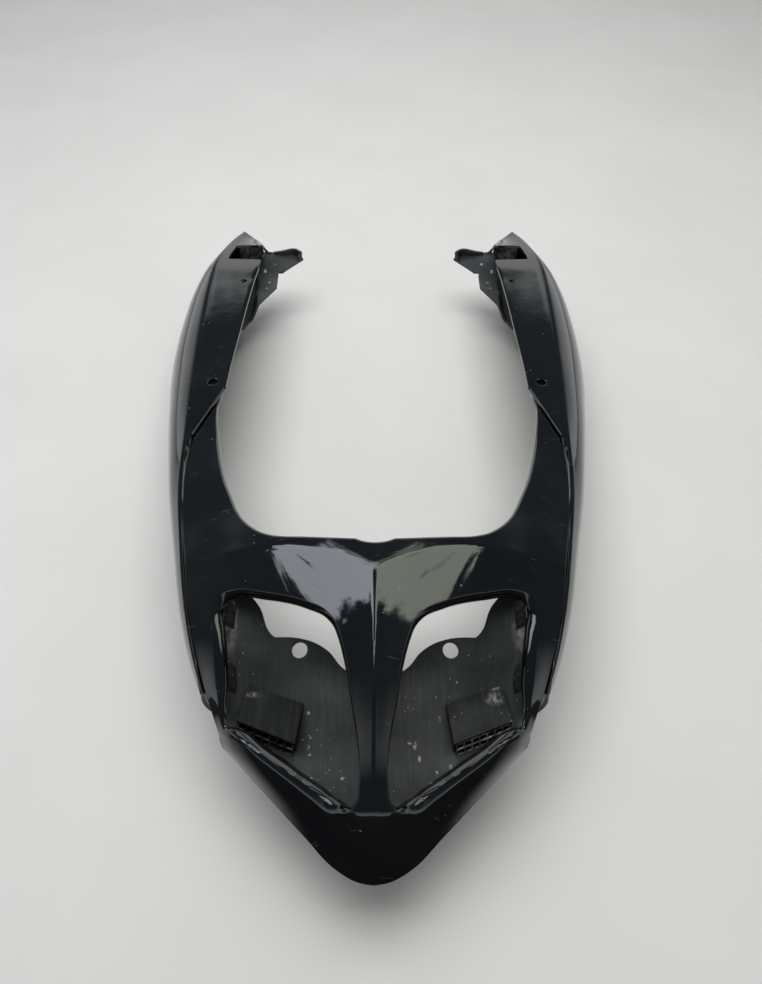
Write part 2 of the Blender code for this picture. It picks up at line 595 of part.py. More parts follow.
def sampled(sheet, rows, cols):
    """Points of a sheet between its own rows and columns."""
    made = []
    for r in rows:
        r0 = min(int(r), sheet.shape[0] - 2)
        line = sheet[r0] * (r0 + 1 - r) + sheet[r0 + 1] * (r - r0)
        picked = []
        for c in cols:
            c0 = min(int(c), sheet.shape[1] - 2)
            picked.append(line[c0] * (c0 + 1 - c) + line[c0 + 1] * (c - c0))
        made.append(picked)
    return np.array(made)


def make_bond(name, side, spot):
    """Rough blob that bonds the tray's side wall beside the eye."""
    middle_y, length, rise = BOND_SPOTS[spot]
    middle = TRAY_SHEET.shape[1] // 2
    ys = TRAY_SHEET[:, middle + 10 * side, 1]
    ends = np.interp([-middle_y - length / 2, -middle_y + length / 2], -ys, np.arange(len(ys)))
    rows = np.linspace(*ends, 7)
    cols = middle + side * np.linspace(*BOND_BAND, 5)
    base = sampled(TRAY_SHEET, rows, cols)
    upward = normals_of(base)
    swell = np.outer(np.sin(np.linspace(0.25, np.pi - 0.25, 7)), np.sin(np.linspace(0.3, np.pi - 0.3, 5)))
    lumps = np.outer([0.8, 1.1, 0.85, 1.15, 0.9, 1.1, 0.8], [0.9, 1.1, 0.9, 1.1, 0.9])
    heights = SEAT_GAP + rise * swell * lumps
    top = base + upward * heights[:, :, None]
    return body_between(name, top, base + upward * SEAT_GAP, plastic("rough_black", name))


clear_scene()
COWL_SHEET = both_sides(smooth_sheet(COWL_ROWS, 2, 2, COWL_SHARP_ROWS))
PANEL_SHEET = smooth_sheet(PANEL_ROWS, 2, 2, (), PANEL_SHARP_COLS)
COWL_TREE = tree_of(COWL_SHEET)
TRAY_SHEET = tray_sheet()
TRAY_TREE = tree_of(TRAY_SHEET)

make_cowl()
make_tray()
for word, direction in (("left", -1), ("right", 1)):
    make_panel("side_panel_" + word, direction)
    make_bracket("front_bracket_" + word, direction)
    make_grille("vent_grille_" + word, direction)
    for spot_name in BOND_SPOTS:
        make_bond("bond_" + spot_name + "_" + word, direction, spot_name)
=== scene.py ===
import math

import bmesh
import bpy
import numpy as np
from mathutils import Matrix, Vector
from mathutils.bvhtree import BVHTree


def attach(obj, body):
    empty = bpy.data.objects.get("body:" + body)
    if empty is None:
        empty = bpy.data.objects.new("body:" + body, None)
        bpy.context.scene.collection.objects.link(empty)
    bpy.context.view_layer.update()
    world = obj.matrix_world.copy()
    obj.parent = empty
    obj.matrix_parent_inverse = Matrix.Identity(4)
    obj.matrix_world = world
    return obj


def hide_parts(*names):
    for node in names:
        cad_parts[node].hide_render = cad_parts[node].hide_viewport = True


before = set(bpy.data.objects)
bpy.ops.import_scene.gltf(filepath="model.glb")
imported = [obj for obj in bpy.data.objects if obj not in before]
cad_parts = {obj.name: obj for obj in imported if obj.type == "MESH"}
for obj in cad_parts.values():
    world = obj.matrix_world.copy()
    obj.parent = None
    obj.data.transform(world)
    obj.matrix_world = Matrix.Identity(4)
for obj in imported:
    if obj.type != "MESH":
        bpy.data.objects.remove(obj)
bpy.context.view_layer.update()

# Table, light and camera
# A pale table top under one wide soft lamp, as in a plain studio. Glossy rays alone see a made-up
# room, pale low down and straight ahead and bright overhead, and see the table dark in front of
# the tail, while diffuse rays see an even grey.

TABLE_REACH = 4.0
LAMP_PLACE = (-0.10, 0.22, 1.5)
LAMP_WIDTH = 1.6
LAMP_DEPTH = 1.1
LAMP_POWER = 19.0
CAMERA_PLACE = (0.0040, -0.3813, 0.477)
CAMERA_TILT = 40.0
CAMERA_YAW = 0.12
CAMERA_LENS = 27.07
TABLE_TONES = ((0.80, 0.80, 0.78, 1), (0.83, 0.83, 0.81, 1))
BACKDROP_TONE = (0.8, 0.8, 0.79, 1)
ROOM_TONE = (0.25, 0.25, 0.25, 1)
GLOSS_TABLE_DARK = (0.01, 0.01, 0.012, 1)
GLOSS_DARK_BEFORE = (-0.30, -0.24)
GLOSS_DIM = (0.09, 0.12, 0.14, 1)
GLOSS_BRIGHTEST = 5.0
GLOSS_OVERHEAD_LEFT = (3.7, 4.0, 4.4, 1)
GLOSS_OVERHEAD_RIGHT = (2.6, 2.8, 2.4, 1)


class Wire:
    """A shader socket that can be used in sums, and that adds further nodes to its tree."""

    def __init__(self, tree, socket=None):
        self.tree = tree
        self.socket = socket

    def node(self, kind, settings, sockets, output=0):
        made = self.tree.nodes.new("ShaderNode" + kind)
        for name, value in settings.items():
            setattr(made, name, value)
        for name, value in sockets.items():
            if isinstance(value, Wire):
                self.tree.links.new(value.socket, made.inputs[name])
            else:
                made.inputs[name].default_value = value
        return Wire(self.tree, made.outputs[output])

    def maths(self, operation, first, second=0.0):
        return self.node("Math", {"operation": operation}, {0: first, 1: second})

    def __add__(self, other):
        return self.maths("ADD", self, other)

    __radd__ = __add__

    def __mul__(self, other):
        return self.maths("MULTIPLY", self, other)

    __rmul__ = __mul__

    def __sub__(self, other):
        return self.maths("SUBTRACT", self, other)

    def __rsub__(self, other):
        return self.maths("SUBTRACT", other, self)

    def most(self, other):
        return self.maths("MAXIMUM", self, other)

    def between(self, low, high):
        """0 below low, 1 above high, smooth in between."""
        return self.node("MapRange", {"interpolation_type": "SMOOTHSTEP"},
                         {"Value": self, "From Min": low, "From Max": high})

    def blended(self, first, second):
        """The colour first where this is 0 and second where it is 1."""
        return self.node("Mix", {"data_type": "RGBA"}, {0: self, 6: first, 7: second}, 2)

    def noise(self, place, scale, detail=2.0, rough=0.5):
        return self.node("TexNoise", {}, {"Vector": place, "Scale": scale, "Detail": detail,
                                          "Roughness": rough})

    def part(self, axis):
        return self.node("SeparateXYZ", {}, {"Vector": self}, axis)

    def stretched(self, scale, turn=0.0):
        """A place with its axes scaled and turned about Z, for streaks."""
        return self.node("Mapping", {}, {"Vector": self, "Scale": scale, "Rotation": (0, 0, turn)})


def new_material(name):
    """A material, its surface shader, a wire in its tree and the place on its object."""
    made = bpy.data.materials.new(name)
    made.use_nodes = True
    wire = Wire(made.node_tree)
    place = wire.node("TexCoord", {}, {}, "Object")
    return made, made.node_tree.nodes["Principled BSDF"], wire, place


def feed(shader, **sockets):
    """Links wires to a shader's sockets and sets plain values on them."""
    for name, value in sockets.items():
        target = shader.inputs[name.replace("_", " ")]
        if isinstance(value, Wire):
            value.tree.links.new(value.socket, target)
        else:
            target.default_value = value


table_mesh = bmesh.new()
bmesh.ops.create_grid(table_mesh, x_segments=1, y_segments=1, size=TABLE_REACH)
table_data = bpy.data.meshes.new("table_top")
table_mesh.to_mesh(table_data)
table_mesh.free()
table = bpy.data.objects.new("table_top", table_data)
bpy.context.scene.collection.objects.link(table)
table_white, shader, wire, place = new_material("table_white")
cloud = wire.noise(place, 7.0, 3.0).between(0.3, 0.7)
table_tone = cloud.blended(*TABLE_TONES)
in_front = 1 - place.part("Y").between(*GLOSS_DARK_BEFORE)
dark_to_gloss = wire.node("LightPath", {}, {}, "Is Glossy Ray") * in_front
feed(shader, Base_Color=dark_to_gloss.blended(table_tone, GLOSS_TABLE_DARK), Roughness=0.5)
table_data.materials.append(table_white)

world = bpy.data.worlds.new("studio_room")
bpy.context.scene.world = world
world.use_nodes = True
wire = Wire(world.node_tree)
direction = wire.node("TexCoord", {}, {}, "Generated")
ragged = wire.noise(direction, 7.0, 4.0, 0.6) - 0.5
ahead = direction.part("Y")
height = direction.part("Z") + ragged * 0.08
aside = wire.maths("DIVIDE", wire.maths("ABSOLUTE", direction.part("X")), ahead.most(0.001))
low_band = (1 - height.between(0.05, 0.42)) * 0.95
pale_ahead = (1 - height.between(0.485, 0.515)) * (1 - aside.between(0.25, 0.45))
pale_ahead = pale_ahead * ahead.between(0.1, 0.3)
torn = wire.noise(direction, 11.0, 5.0, 0.7) - 0.5
ceiling = (height + torn * 0.22).between(0.69, 0.73) * (ahead + torn * 0.55).between(0.08, 0.13)
gap_ahead = 1 - wire.maths("ABSOLUTE", direction.part("X")).between(0.26, 0.32)
ceiling = ceiling * (1 - gap_ahead * direction.part("Z").between(0.79, 0.83))
ceiling = ceiling * (1 - direction.part("Z").between(0.875, 0.90))
left_right = direction.part("X").between(-0.25, 0.25)
bright = (low_band.most(pale_ahead * 1.1) * (1.0 / GLOSS_BRIGHTEST)).blended(
    GLOSS_DIM, (GLOSS_BRIGHTEST, GLOSS_BRIGHTEST, GLOSS_BRIGHTEST, 1))
overhead_tone = left_right.blended(GLOSS_OVERHEAD_LEFT, GLOSS_OVERHEAD_RIGHT)
reflected = ceiling.blended(bright, overhead_tone)
glossy_ray = wire.node("LightPath", {}, {}, "Is Glossy Ray")
camera_ray = wire.node("LightPath", {}, {}, "Is Camera Ray")
room = glossy_ray.blended(ROOM_TONE, reflected)
seen = camera_ray.blended(room, BACKDROP_TONE)
background = world.node_tree.nodes["Background"]
world.node_tree.links.new(seen.socket, background.inputs["Color"])
background.inputs["Strength"].default_value = 1.0

lamp_data = bpy.data.lights.new("soft_lamp", "AREA")
lamp_data.shape = "RECTANGLE"
lamp_data.size = LAMP_WIDTH
lamp_data.size_y = LAMP_DEPTH
lamp_data.energy = LAMP_POWER
lamp = bpy.data.objects.new("soft_lamp", lamp_data)
lamp.location = LAMP_PLACE
lamp.visible_glossy = False
bpy.context.scene.collection.objects.link(lamp)

camera_data = bpy.data.cameras.new("camera")
camera_data.sensor_width = 36.0
camera_data.lens = CAMERA_LENS
camera_data.clip_start = 0.01
camera = bpy.data.objects.new("camera", camera_data)
camera.location = CAMERA_PLACE
camera.rotation_euler = (math.radians(CAMERA_TILT), 0.0, math.radians(CAMERA_YAW))
bpy.context.scene.collection.objects.link(camera)
bpy.context.scene.camera = camera
bpy.context.scene.view_settings.view_transform = "Standard"

# Centre cowl
# Injection-moulded shell, painted gloss black under clear lacquer. Its edges round the seat
# opening and the two lamp openings roll over into a short turned-down lip, and it is bonded
# to the side panels along its outer edges.

MM = 0.001
MIDDLE_Y = -1.7
COWL_WALL = 2.4
COWL_ROWS = [
    [(0, 62, 98), (20, 62, 98), (45, 62, 96), (70, 62, 94), (95, 62, 91), (115, 62, 87.7),
     (127, 62, 87.6), (139, 62, 87.5)],
    [(0, 24, 101), (20, 24, 101), (45, 24, 99), (70, 24, 97), (95, 24, 93), (115, 24, 88.8),
     (126, 24, 88.4), (137, 24, 88.2)],
    [(0, -11, 105), (20, -11, 105), (45, -11, 103.5), (70, -11, 101), (94, -11, 96.5),
     (112, -11, 92), (124, -11, 90.2), (135, -11, 89.1)],
    [(0, -47, 112), (20, -47, 111.5), (45, -47, 110), (70, -47, 107), (91, -47, 102.5),
     (107, -47, 98), (121, -47, 94.6), (132.8, -47, 91.8)],
    [(0, -85, 119.5), (20, -85, 119), (42, -85, 117.5), (65, -85, 114), (84, -85, 108.5),
     (99, -85, 103.5), (114, -85, 98.5), (126.8, -85, 94)],
    [(0, -112, 126), (16, -112, 125.6), (38, -112, 124), (60, -112, 119.6), (78, -112, 114),
     (94, -108, 107), (109, -107, 101), (122.5, -106, 94.6)],
    [(0, -147, 131.5), (14, -140, 129), (36, -132, 126), (60, -125.5, 121.5), (76, -124, 115.5),
     (91, -123, 108), (105, -122.5, 101), (119, -122, 94)],
    [(0, -180, 130), (9, -178, 126), (26.5, -176, 119), (45, -168, 114.5), (67, -158, 108.5),
     (84.5, -151, 101.5), (98.5, -148, 96), (114.8, -144, 90)],
    [(0, -203, 126.5), (7, -203, 122), (17.6, -202, 115.5), (39, -196, 109), (62.5, -186, 102.5),
     (86.3, -176, 95), (96, -174, 90), (106.5, -172, 84.5)],
    [(0, -230, 119), (6, -230, 114.5), (13.6, -229, 109), (33, -222, 101), (56.5, -210, 94),
     (82, -196, 88), (91, -195, 83.5), (98.4, -196, 77)],
    [(0, -252, 109.5), (5.4, -252, 105.5), (10.7, -251, 102), (27, -244, 95), (50.5, -229, 88),
     (78, -210, 82), (85.7, -210, 77), (92, -211, 69.5)],
    [(0, -270.8, 100), (6, -270.4, 98), (15.8, -268, 94), (31.8, -257.3, 89.3), (51.4, -243, 84.3),
     (76.8, -225, 78), (83, -222, 73), (88.9, -218, 65)],
    [(0, -283, 79), (8, -282, 78.5), (18.5, -276.5, 76), (35, -264.5, 73.5), (54.4, -249, 71),
     (74.8, -232.5, 68), (81.6, -227, 66), (88.4, -220.8, 62.4)],
    [(0, -293.4, 55), (8.7, -291.9, 55), (20, -286, 55), (37, -270.5, 56), (54.4, -254, 57),
     (72, -237.5, 58.4), (79.7, -230, 59.2), (87.4, -223, 60)],
]
BROW_ROW = 6
TAIL_TURN_ROW = 11
COWL_STEPS = 10
OPENING_EDGE = [(120.4, 60), (120.2, 40), (121.3, 28), (120.3, 18), (117.6, 3), (112.6, -20),
                (107.9, -38), (102.7, -55), (96.3, -71), (90.8, -84), (84.5, -95.6), (77, -105),
                (69, -112), (61, -116.2), (42, -120.2), (22, -122.8), (11.5, -123.8)]
NOTCH_DEPTH = 3.6
NOTCH_HALF = 11.5
EYE_EDGE = [(93.2, -152), (91.2, -149), (86, -148.6), (67, -154.5), (41.3, -164.4), (30, -171),
            (25, -177), (21.1, -187), (17.7, -200.4), (14.6, -218.9), (11.3, -237.3),
            (9.3, -257), (9.4, -264.4), (12, -266.6), (16.7, -265.6), (29, -256), (42.4, -245.5),
            (59.8, -232.4), (74.4, -221.6), (80.2, -218.6), (84.1, -217.2), (85.9, -213.5),
            (86.8, -200), (88.7, -185.6), (91.7, -166)]
EYE_RIM_WIDTH = 3.4
EYE_RIM_REAR = 0.7
EYE_NARROW_AT = (84.5, -217.5)
EYE_NARROW_REACH = 14.0
EYE_NARROW_SHARE = 0.72
EYE_TIP_AT = (10.5, -266.0)
EYE_TIP_REACH = 9.0
EYE_TIP_SHARE = 0.6
EYE_RIM = [(0.05, 0.02), (0.15, 0.11), (0.4, 0.36), (0.7, 0.7), (0.9, 1.05), (0.98, 1.4),
           (1.0, 1.9)]
OPENING_WIDTH = 1.0
OPENING_REAR = 1.4
ROLLED_EDGE = [(0.26, 0.04), (0.5, 0.14), (0.74, 0.33), (0.92, 0.62), (1.0, 1.0)]
OPENING_LIP = 5.0
OPENING_CLOSE = (120.4, 90)
OUTER_ROLL = 0.45
OUTER_LIP = 2.0
RIM_WALL = 1.0
EDGE_STEPS = 6
NOTCH_POINTS = 15
COWL_RELAX = 16
LAST_RELAX = 2
ROOT_HOLE = ((128.0, 53.2), 7.8)
ABOVE = (0, 0, 3)
RAY_START = 400.0
CUT_NEAR = 0.6
CUT_MERGE = 0.03


def placed(point):
    """A point in millimetres of the drawing as a place in the scene."""
    return Vector((point[0], point[1] - MIDDLE_Y, point[2])) * MM


def eased(points, steps):
    """A smooth run through points, with the given number of pieces in each gap."""
    gaps = np.maximum(np.linalg.norm(np.diff(points, axis=0), axis=1), 1e-6)
    slopes = np.diff(points, axis=0) / gaps[:, None]
    if len(points) == 2:
        leans = np.concatenate([slopes, slopes])
    else:
        before = gaps[:-1, None]
        after = gaps[1:, None]
        leans = np.empty_like(points)
        leans[1:-1] = (slopes[:-1] * after + slopes[1:] * before) / (before + after)
        leans[0] = 1.5 * slopes[0] - 0.5 * leans[1]
        leans[-1] = 1.5 * slopes[-1] - 0.5 * leans[-2]
    run = [points[0]]
    for index, gap in enumerate(gaps):
        for t in np.arange(1, steps + 1) / steps:
            held = (points[index] * (2 * t**3 - 3 * t**2 + 1)
                    + points[index + 1] * (3 * t**2 - 2 * t**3))
            leave = leans[index] * (t**3 - 2 * t**2 + t)
            arrive = leans[index + 1] * (t**3 - t**2)
            run.append(held + (leave + arrive) * gap)
    return np.array(run)


def run_through(points, steps, kinks=()):
    """A smooth run that keeps its corners at the points numbered in kinks."""
    points = np.asarray(points, dtype=float)
    marks = [0, *kinks, len(points) - 1]
    run = [points[:1]]
    for start, stop in zip(marks[:-1], marks[1:]):
        run.append(eased(points[start:stop + 1], steps)[1:])
    return np.concatenate(run)


def surface_points(rows, row_steps, col_steps, row_kinks=(), col_kinks=()):
    across = np.array([run_through(row, col_steps, col_kinks) for row in rows])
    along = [run_through(across[:, i], row_steps, row_kinks) for i in range(across.shape[1])]
    return np.array(along).transpose(1, 0, 2)


def mirrored(points):
    """A half surface and its mirror image, whose shared line is the middle column."""
    return np.concatenate([points[:, :0:-1] * np.array([-1.0, 1.0, 1.0]), points], axis=1)


def lowered(points, drop):
    """A surface moved in along its normals, away from the side that looks up."""
    normals = np.cross(np.gradient(points, axis=0), np.gradient(points, axis=1))
    normals /= np.linalg.norm(normals, axis=2)[:, :, None]
    if normals[:, :2, 2].sum() < 0:
        normals = -normals
    return points - normals * drop


def laid_out(points):
    """A grid of faces whose corners lie at the points of a surface."""
    rows, cols = points.shape[:2]
    work = bmesh.new()
    bmesh.ops.create_grid(work, x_segments=cols - 1, y_segments=rows - 1, size=1.0)
    for vert, point in zip(work.verts, points.reshape(-1, 3)):
        vert.co = placed(point)
    return work


def even_out(work, verts, times):
    for _ in range(times):
        bmesh.ops.smooth_vert(work, verts=verts, factor=0.5, use_axis_x=True, use_axis_y=True,
                              use_axis_z=True)


def relax(work, held, times):
    """Evens out a grid, apart from its rim and the corners whose numbers are in held."""
    free = [v for i, v in enumerate(work.verts) if i not in held and not v.is_boundary]
    even_out(work, free, times)


def face_towards(work, spot):
    """Turns the faces of a sheet so that they look to the side on which the spot lies."""
    bmesh.ops.recalc_face_normals(work, faces=work.faces)
    work.normal_update()
    facing = sum((spot - f.calc_center_median()).dot(f.normal) * f.calc_area() for f in work.faces)
    if facing < 0:
        bmesh.ops.reverse_faces(work, faces=work.faces)
    work.normal_update()


def closed_run(points, steps):
    """A closed smooth outline in plan."""
    loop = [(*p, 0.0) for p in [*points[-2:], *points, *points[:3]]]
    return run_through(loop, steps)[2 * steps:(2 + len(points)) * steps, :2]


def grown(outline, margin, rear=0.0):
    """A closed outline in plan grown by margin, and by (1 + rear) times it where it faces -Y."""
    after = np.roll(outline, -1, axis=0)
    turning = np.sum(outline[:, 0] * after[:, 1] - outline[:, 1] * after[:, 0])
    normals = []
    for run in (after - outline, outline - np.roll(outline, 1, axis=0)):
        unit = run / np.maximum(np.linalg.norm(run, axis=1), 1e-9)[:, None]
        normals.append(np.stack([unit[:, 1], -unit[:, 0]], axis=1) * np.sign(turning))
    mitre = (normals[0] + normals[1]) / (1.0 + np.sum(normals[0] * normals[1], axis=1))[:, None]
    width = margin * (1.0 + rear * np.clip(-mitre[:, 1], 0.0, 1.0))
    return outline + mitre * width[:, None]


def inside(outline, spots):
    """Which of the spots in plan lie inside a closed outline."""
    within = np.zeros(len(spots), dtype=bool)
    for (ax, ay), (bx, by) in zip(outline, np.roll(outline, -1, axis=0)):
        if ay != by:
            crosses = (ay > spots[:, 1]) != (by > spots[:, 1])
            within ^= crosses & (spots[:, 0] < (bx - ax) * (spots[:, 1] - ay) / (by - ay) + ax)
    return within


def rim_near(work, marks, limit):
    """Edges of a sheet's rim whose middles lie within limit of a closed outline in plan."""
    rim = [e for e in work.edges if e.is_boundary]
    middles = np.array([((e.verts[0].co + e.verts[1].co) / 2)[:2] for e in rim])
    best = np.full(len(rim), np.inf)
    for first, last in zip(marks, np.roll(marks, -1, axis=0)):
        span = last - first
        share = np.clip((middles - first) @ span / max(span @ span, 1e-12), 0.0, 1.0)
        best = np.minimum(best, np.linalg.norm(middles - first - share[:, None] * span, axis=1))
    return [e for e, gap in zip(rim, best) if gap < limit * MM]


def cut_out(work, outline, reach=6.0, keep_inside=False):
    """Cuts a sheet along an outline in plan and drops what lies within it, or outside it."""
    corners = [placed((x, y, 0.0)) for x, y in outline]
    marks = np.array([c[:2] for c in corners])
    centres = np.array([f.calc_center_median()[:2] for f in work.faces])
    near = np.zeros(len(centres), dtype=bool)
    for mark, after in zip(marks, np.roll(marks, -1, axis=0)):
        count = max(2, int(np.linalg.norm(after - mark) / (reach * MM)) + 2)
        for spot in np.linspace(mark, after, count):
            near |= np.linalg.norm(centres - spot, axis=1) < reach * MM
    band = [f for f, keep in zip(work.faces, near) if keep]
    for first, last in zip(corners, corners[1:] + corners[:1]):
        along = (last - first).normalized()
        upright = Vector((-along.y, along.x, 0.0))
        span = (last - first).length
        local = []
        rest = []
        for face in band:
            offset = face.calc_center_median() - first
            ahead = offset.dot(along)
            aside = abs(offset.dot(upright))
            close = -reach * MM < ahead < span + reach * MM and aside < reach * MM
            (local if close else rest).append(face)
        if not local:
            continue
        parts = local + list({e for f in local for e in f.edges})
        parts += list({v for f in local for v in f.verts})
        made = bmesh.ops.bisect_plane(work, geom=parts, dist=1e-7, plane_co=first, plane_no=upright)
        band = rest + [g for g in made["geom"] if isinstance(g, bmesh.types.BMFace)]
    centres = np.array([f.calc_center_median()[:2] for f in work.faces])
    gone = inside(marks, centres) != keep_inside
    bmesh.ops.delete(work, geom=[f for f, out in zip(work.faces, gone) if out], context="FACES")
    cut_verts = list({v for e in rim_near(work, marks, CUT_NEAR) for v in e.verts})
    bmesh.ops.remove_doubles(work, verts=cut_verts, dist=CUT_MERGE * MM)
    work.normal_update()


def straight_down(tree, x, y, drop=0.0):
    """The point of a surface below (x, y), in millimetres, taken in from it by drop."""
    spot, normal, _, _ = tree.ray_cast(placed((x, y, RAY_START)), Vector((0, 0, -1)))
    spot = spot - (normal if normal.z > 0 else -normal) * drop * MM
    return np.array((spot.x / MM, spot.y / MM + MIDDLE_Y, spot.z / MM))


def corners_of(work, rows):
    """The corners of a laid-out sheet as a surface of points again."""
    spots = np.array([v.co for v in work.verts]) / MM
    spots[:, 1] += MIDDLE_Y
    return spots.reshape(rows, -1, 3)


def rolled(points, width, lip):
    """A surface whose last column rolls over and down to a lip, inside the old edge."""
    across = points[:, -1] - points[:, -2]
    gaps = np.linalg.norm(across, axis=1)[:, None]
    across = across / gaps
    normals = np.cross(np.gradient(points[:, -1], axis=0), across)
    normals /= np.linalg.norm(normals, axis=1)[:, None]
    if normals[:, 2].sum() < 0:
        normals = -normals
    widths = np.minimum(width, 0.8 * gaps)
    start = points[:, -1] - across * widths
    added = [start]
    for out, down in ROLLED_EDGE:
        added.append(start + across * widths * out - normals * widths * down)
    added.append(start + across * widths - normals * lip)
    return np.concatenate([points[:, :-1], np.stack(added, axis=1)], axis=1)


def rim_strip(tree, outer, inner, profile, lip=0.0, closed=True):
    """A strip that rolls from the line outer on a surface to the line inner and down."""
    if closed:
        outer, inner = [np.concatenate([line, line[:1]]) for line in (outer, inner)]
    widths = np.linalg.norm(inner - outer, axis=1)
    steps = [(0.0, 0.0), *profile] + ([(1.0, None)] if lip else [])
    rings = []
    for out, down in steps:
        ring = []
        for start, stop, width in zip(outer, inner, widths):
            drop = lip if down is None else down * width
            ring.append(straight_down(tree, *(start + (stop - start) * out), drop))
        rings.append(ring)
    strip = laid_out(np.array(rings))
    bmesh.ops.remove_doubles(strip, verts=strip.verts[:], dist=1e-6)
    return strip


def into_piece(name, material, parts, sharp=38.0, bevel=0.0):
    """Gives sheets their walls, as (sheet, wall, side it looks to), and joins them into one
    piece that rides with the fairing."""
    whole = bmesh.new()
    for sheet, wall, spot in parts:
        face_towards(sheet, Vector(spot))
        part = bpy.data.meshes.new(name + "_part")
        sheet.to_mesh(part)
        sheet.free()
        carrier = bpy.data.objects.new(name + "_part", part)
        bpy.context.scene.collection.objects.link(carrier)
        walls = carrier.modifiers.new("wall", "SOLIDIFY")
        walls.thickness = wall * MM
        walls.offset = -1.0
        walls.use_even_offset = False
        whole.from_object(carrier, bpy.context.evaluated_depsgraph_get())
        bpy.data.objects.remove(carrier)
        bpy.data.meshes.remove(part)
    data = bpy.data.meshes.new(name)
    whole.to_mesh(data)
    whole.free()
    data.shade_smooth()
    data.set_sharp_from_angle(angle=math.radians(sharp))
    data.materials.append(material)
    piece = bpy.data.objects.new(name, data)
    bpy.context.scene.collection.objects.link(piece)
    if bevel:
        rounding = piece.modifiers.new("rounded_edges", "BEVEL")
        rounding.width = bevel * MM
        rounding.segments = 2
        rounding.limit_method = "ANGLE"
        rounding.angle_limit = math.radians(50.0)
    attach(piece, "root")
    return piece


def gloss_black(name):
    """Black lacquer: near-black, with dust, wiping marks, fine scratches and orange peel."""
    material, shader, wire, place = new_material(name)
    dust = wire.node("TexVoronoi", {}, {"Vector": place, "Scale": 190.0}, "Distance")
    chance = wire.noise(place, 55.0, 1.0)
    specks = (1 - dust.between(0.05, 0.12)) * chance.between(0.60, 0.66)
    film = wire.noise(place, 13.0, 5.0, 0.62).between(0.46, 0.78)
    streak_place = place.stretched((60.0, 900.0, 60.0), 0.6)
    scratch = wire.noise(streak_place, 1.0, 1.0).between(0.70, 0.74) * chance.between(0.5, 0.6)
    tone = (specks * 0.8 + film * 0.02 + scratch * 0.12).blended((0.0035, 0.0037, 0.0042, 1),
                                                                  (0.30, 0.31, 0.31, 1))
    rough = film * 0.05 + specks * 0.4 + scratch * 0.15 + 0.035
    relief = (wire.noise(place, 420.0, 1.0) * 0.006 + wire.noise(place, 90.0, 1.0) * 0.022
              + wire.noise(place, 26.0, 2.0) * 0.09)
    bump = wire.node("Bump", {}, {"Height": relief, "Strength": 1.0, "Distance": 0.001})
    feed(shader, Base_Color=tone, Roughness=rough, Normal=bump, IOR=1.5, Coat_Weight=0.3,
         Coat_Roughness=0.03)
    return material


cowl_points = mirrored(surface_points(COWL_ROWS, COWL_STEPS, COWL_STEPS, (BROW_ROW, TAIL_TURN_ROW)))
cowl_sheet = laid_out(cowl_points)
cowl_cols = cowl_points.shape[1]
middle_col = cowl_cols // 2
held = set()
for row in (BROW_ROW * COWL_STEPS, TAIL_TURN_ROW * COWL_STEPS):
    held.update(range(row * cowl_cols, (row + 1) * cowl_cols))
for row in range(BROW_ROW * COWL_STEPS, TAIL_TURN_ROW * COWL_STEPS):
    held.add(row * cowl_cols + middle_col)
relax(cowl_sheet, held, COWL_RELAX)
relax(cowl_sheet, set(), LAST_RELAX)
face_towards(cowl_sheet, Vector(ABOVE))
cowl_tree = BVHTree.FromBMesh(cowl_sheet)

cowl_edged = corners_of(cowl_sheet, cowl_points.shape[0])
cowl_sheet.free()
for _ in range(2):
    cowl_edged = rolled(cowl_edged, OUTER_ROLL, OUTER_LIP)[:, ::-1]
cowl_sheet = laid_out(cowl_edged)
face_towards(cowl_sheet, Vector(ABOVE))
opening_half = [tuple(p[:2]) for p in run_through([(*p, 0.0) for p in OPENING_EDGE], EDGE_STEPS)]
notch_radius = (NOTCH_HALF**2 + NOTCH_DEPTH**2) / (2 * NOTCH_DEPTH)
notch_turn = math.asin(NOTCH_HALF / notch_radius)
notch_middle = opening_half[-1][1] - NOTCH_DEPTH + notch_radius
notch = [(notch_radius * math.sin(a), notch_middle - notch_radius * math.cos(a))
         for a in np.linspace(notch_turn, -notch_turn, NOTCH_POINTS)[1:-1]]
opening = opening_half + notch + [(-x, y) for x, y in reversed(opening_half)]
opening = np.array(opening + [(-OPENING_CLOSE[0], OPENING_CLOSE[1]), OPENING_CLOSE])
opening_outer = grown(opening, OPENING_WIDTH, OPENING_REAR)
cut_out(cowl_sheet, opening_outer)
opening_rim = rim_strip(cowl_tree, opening_outer[:-2], opening[:-2], ROLLED_EDGE, OPENING_LIP,
                        False)
cowl_parts = [(cowl_sheet, COWL_WALL, ABOVE), (opening_rim, RIM_WALL, ABOVE)]
for side in (1, -1):
    eye = closed_run(EYE_EDGE, EDGE_STEPS) * np.array([side, 1.0])
    to_corner = np.linalg.norm(eye - np.array((side * EYE_NARROW_AT[0], EYE_NARROW_AT[1])), axis=1)
    to_tip = np.linalg.norm(eye - np.array((side * EYE_TIP_AT[0], EYE_TIP_AT[1])), axis=1)
    narrowed = (1 - EYE_NARROW_SHARE * np.exp(-(to_corner / EYE_NARROW_REACH)**2)
                - EYE_TIP_SHARE * np.exp(-(to_tip / EYE_TIP_REACH)**2))
    eye_outer = grown(eye, EYE_RIM_WIDTH * narrowed, EYE_RIM_REAR)
    cut_out(cowl_sheet, eye_outer)
    cowl_parts.append((rim_strip(cowl_tree, eye_outer, eye, EYE_RIM), RIM_WALL, ABOVE))
cowl = into_piece("cowl_shell", gloss_black("cowl_gloss_black"), cowl_parts)
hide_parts("tail_cowl")

# Side panels
# Two long bulged mouldings in the same gloss black, each with a flat ledge on top that carries
# the seat. The ledge's rear end lies over the root of the cowl, a rebate runs on under the
# cowl's edge, and the panels stand on their bottom edges.

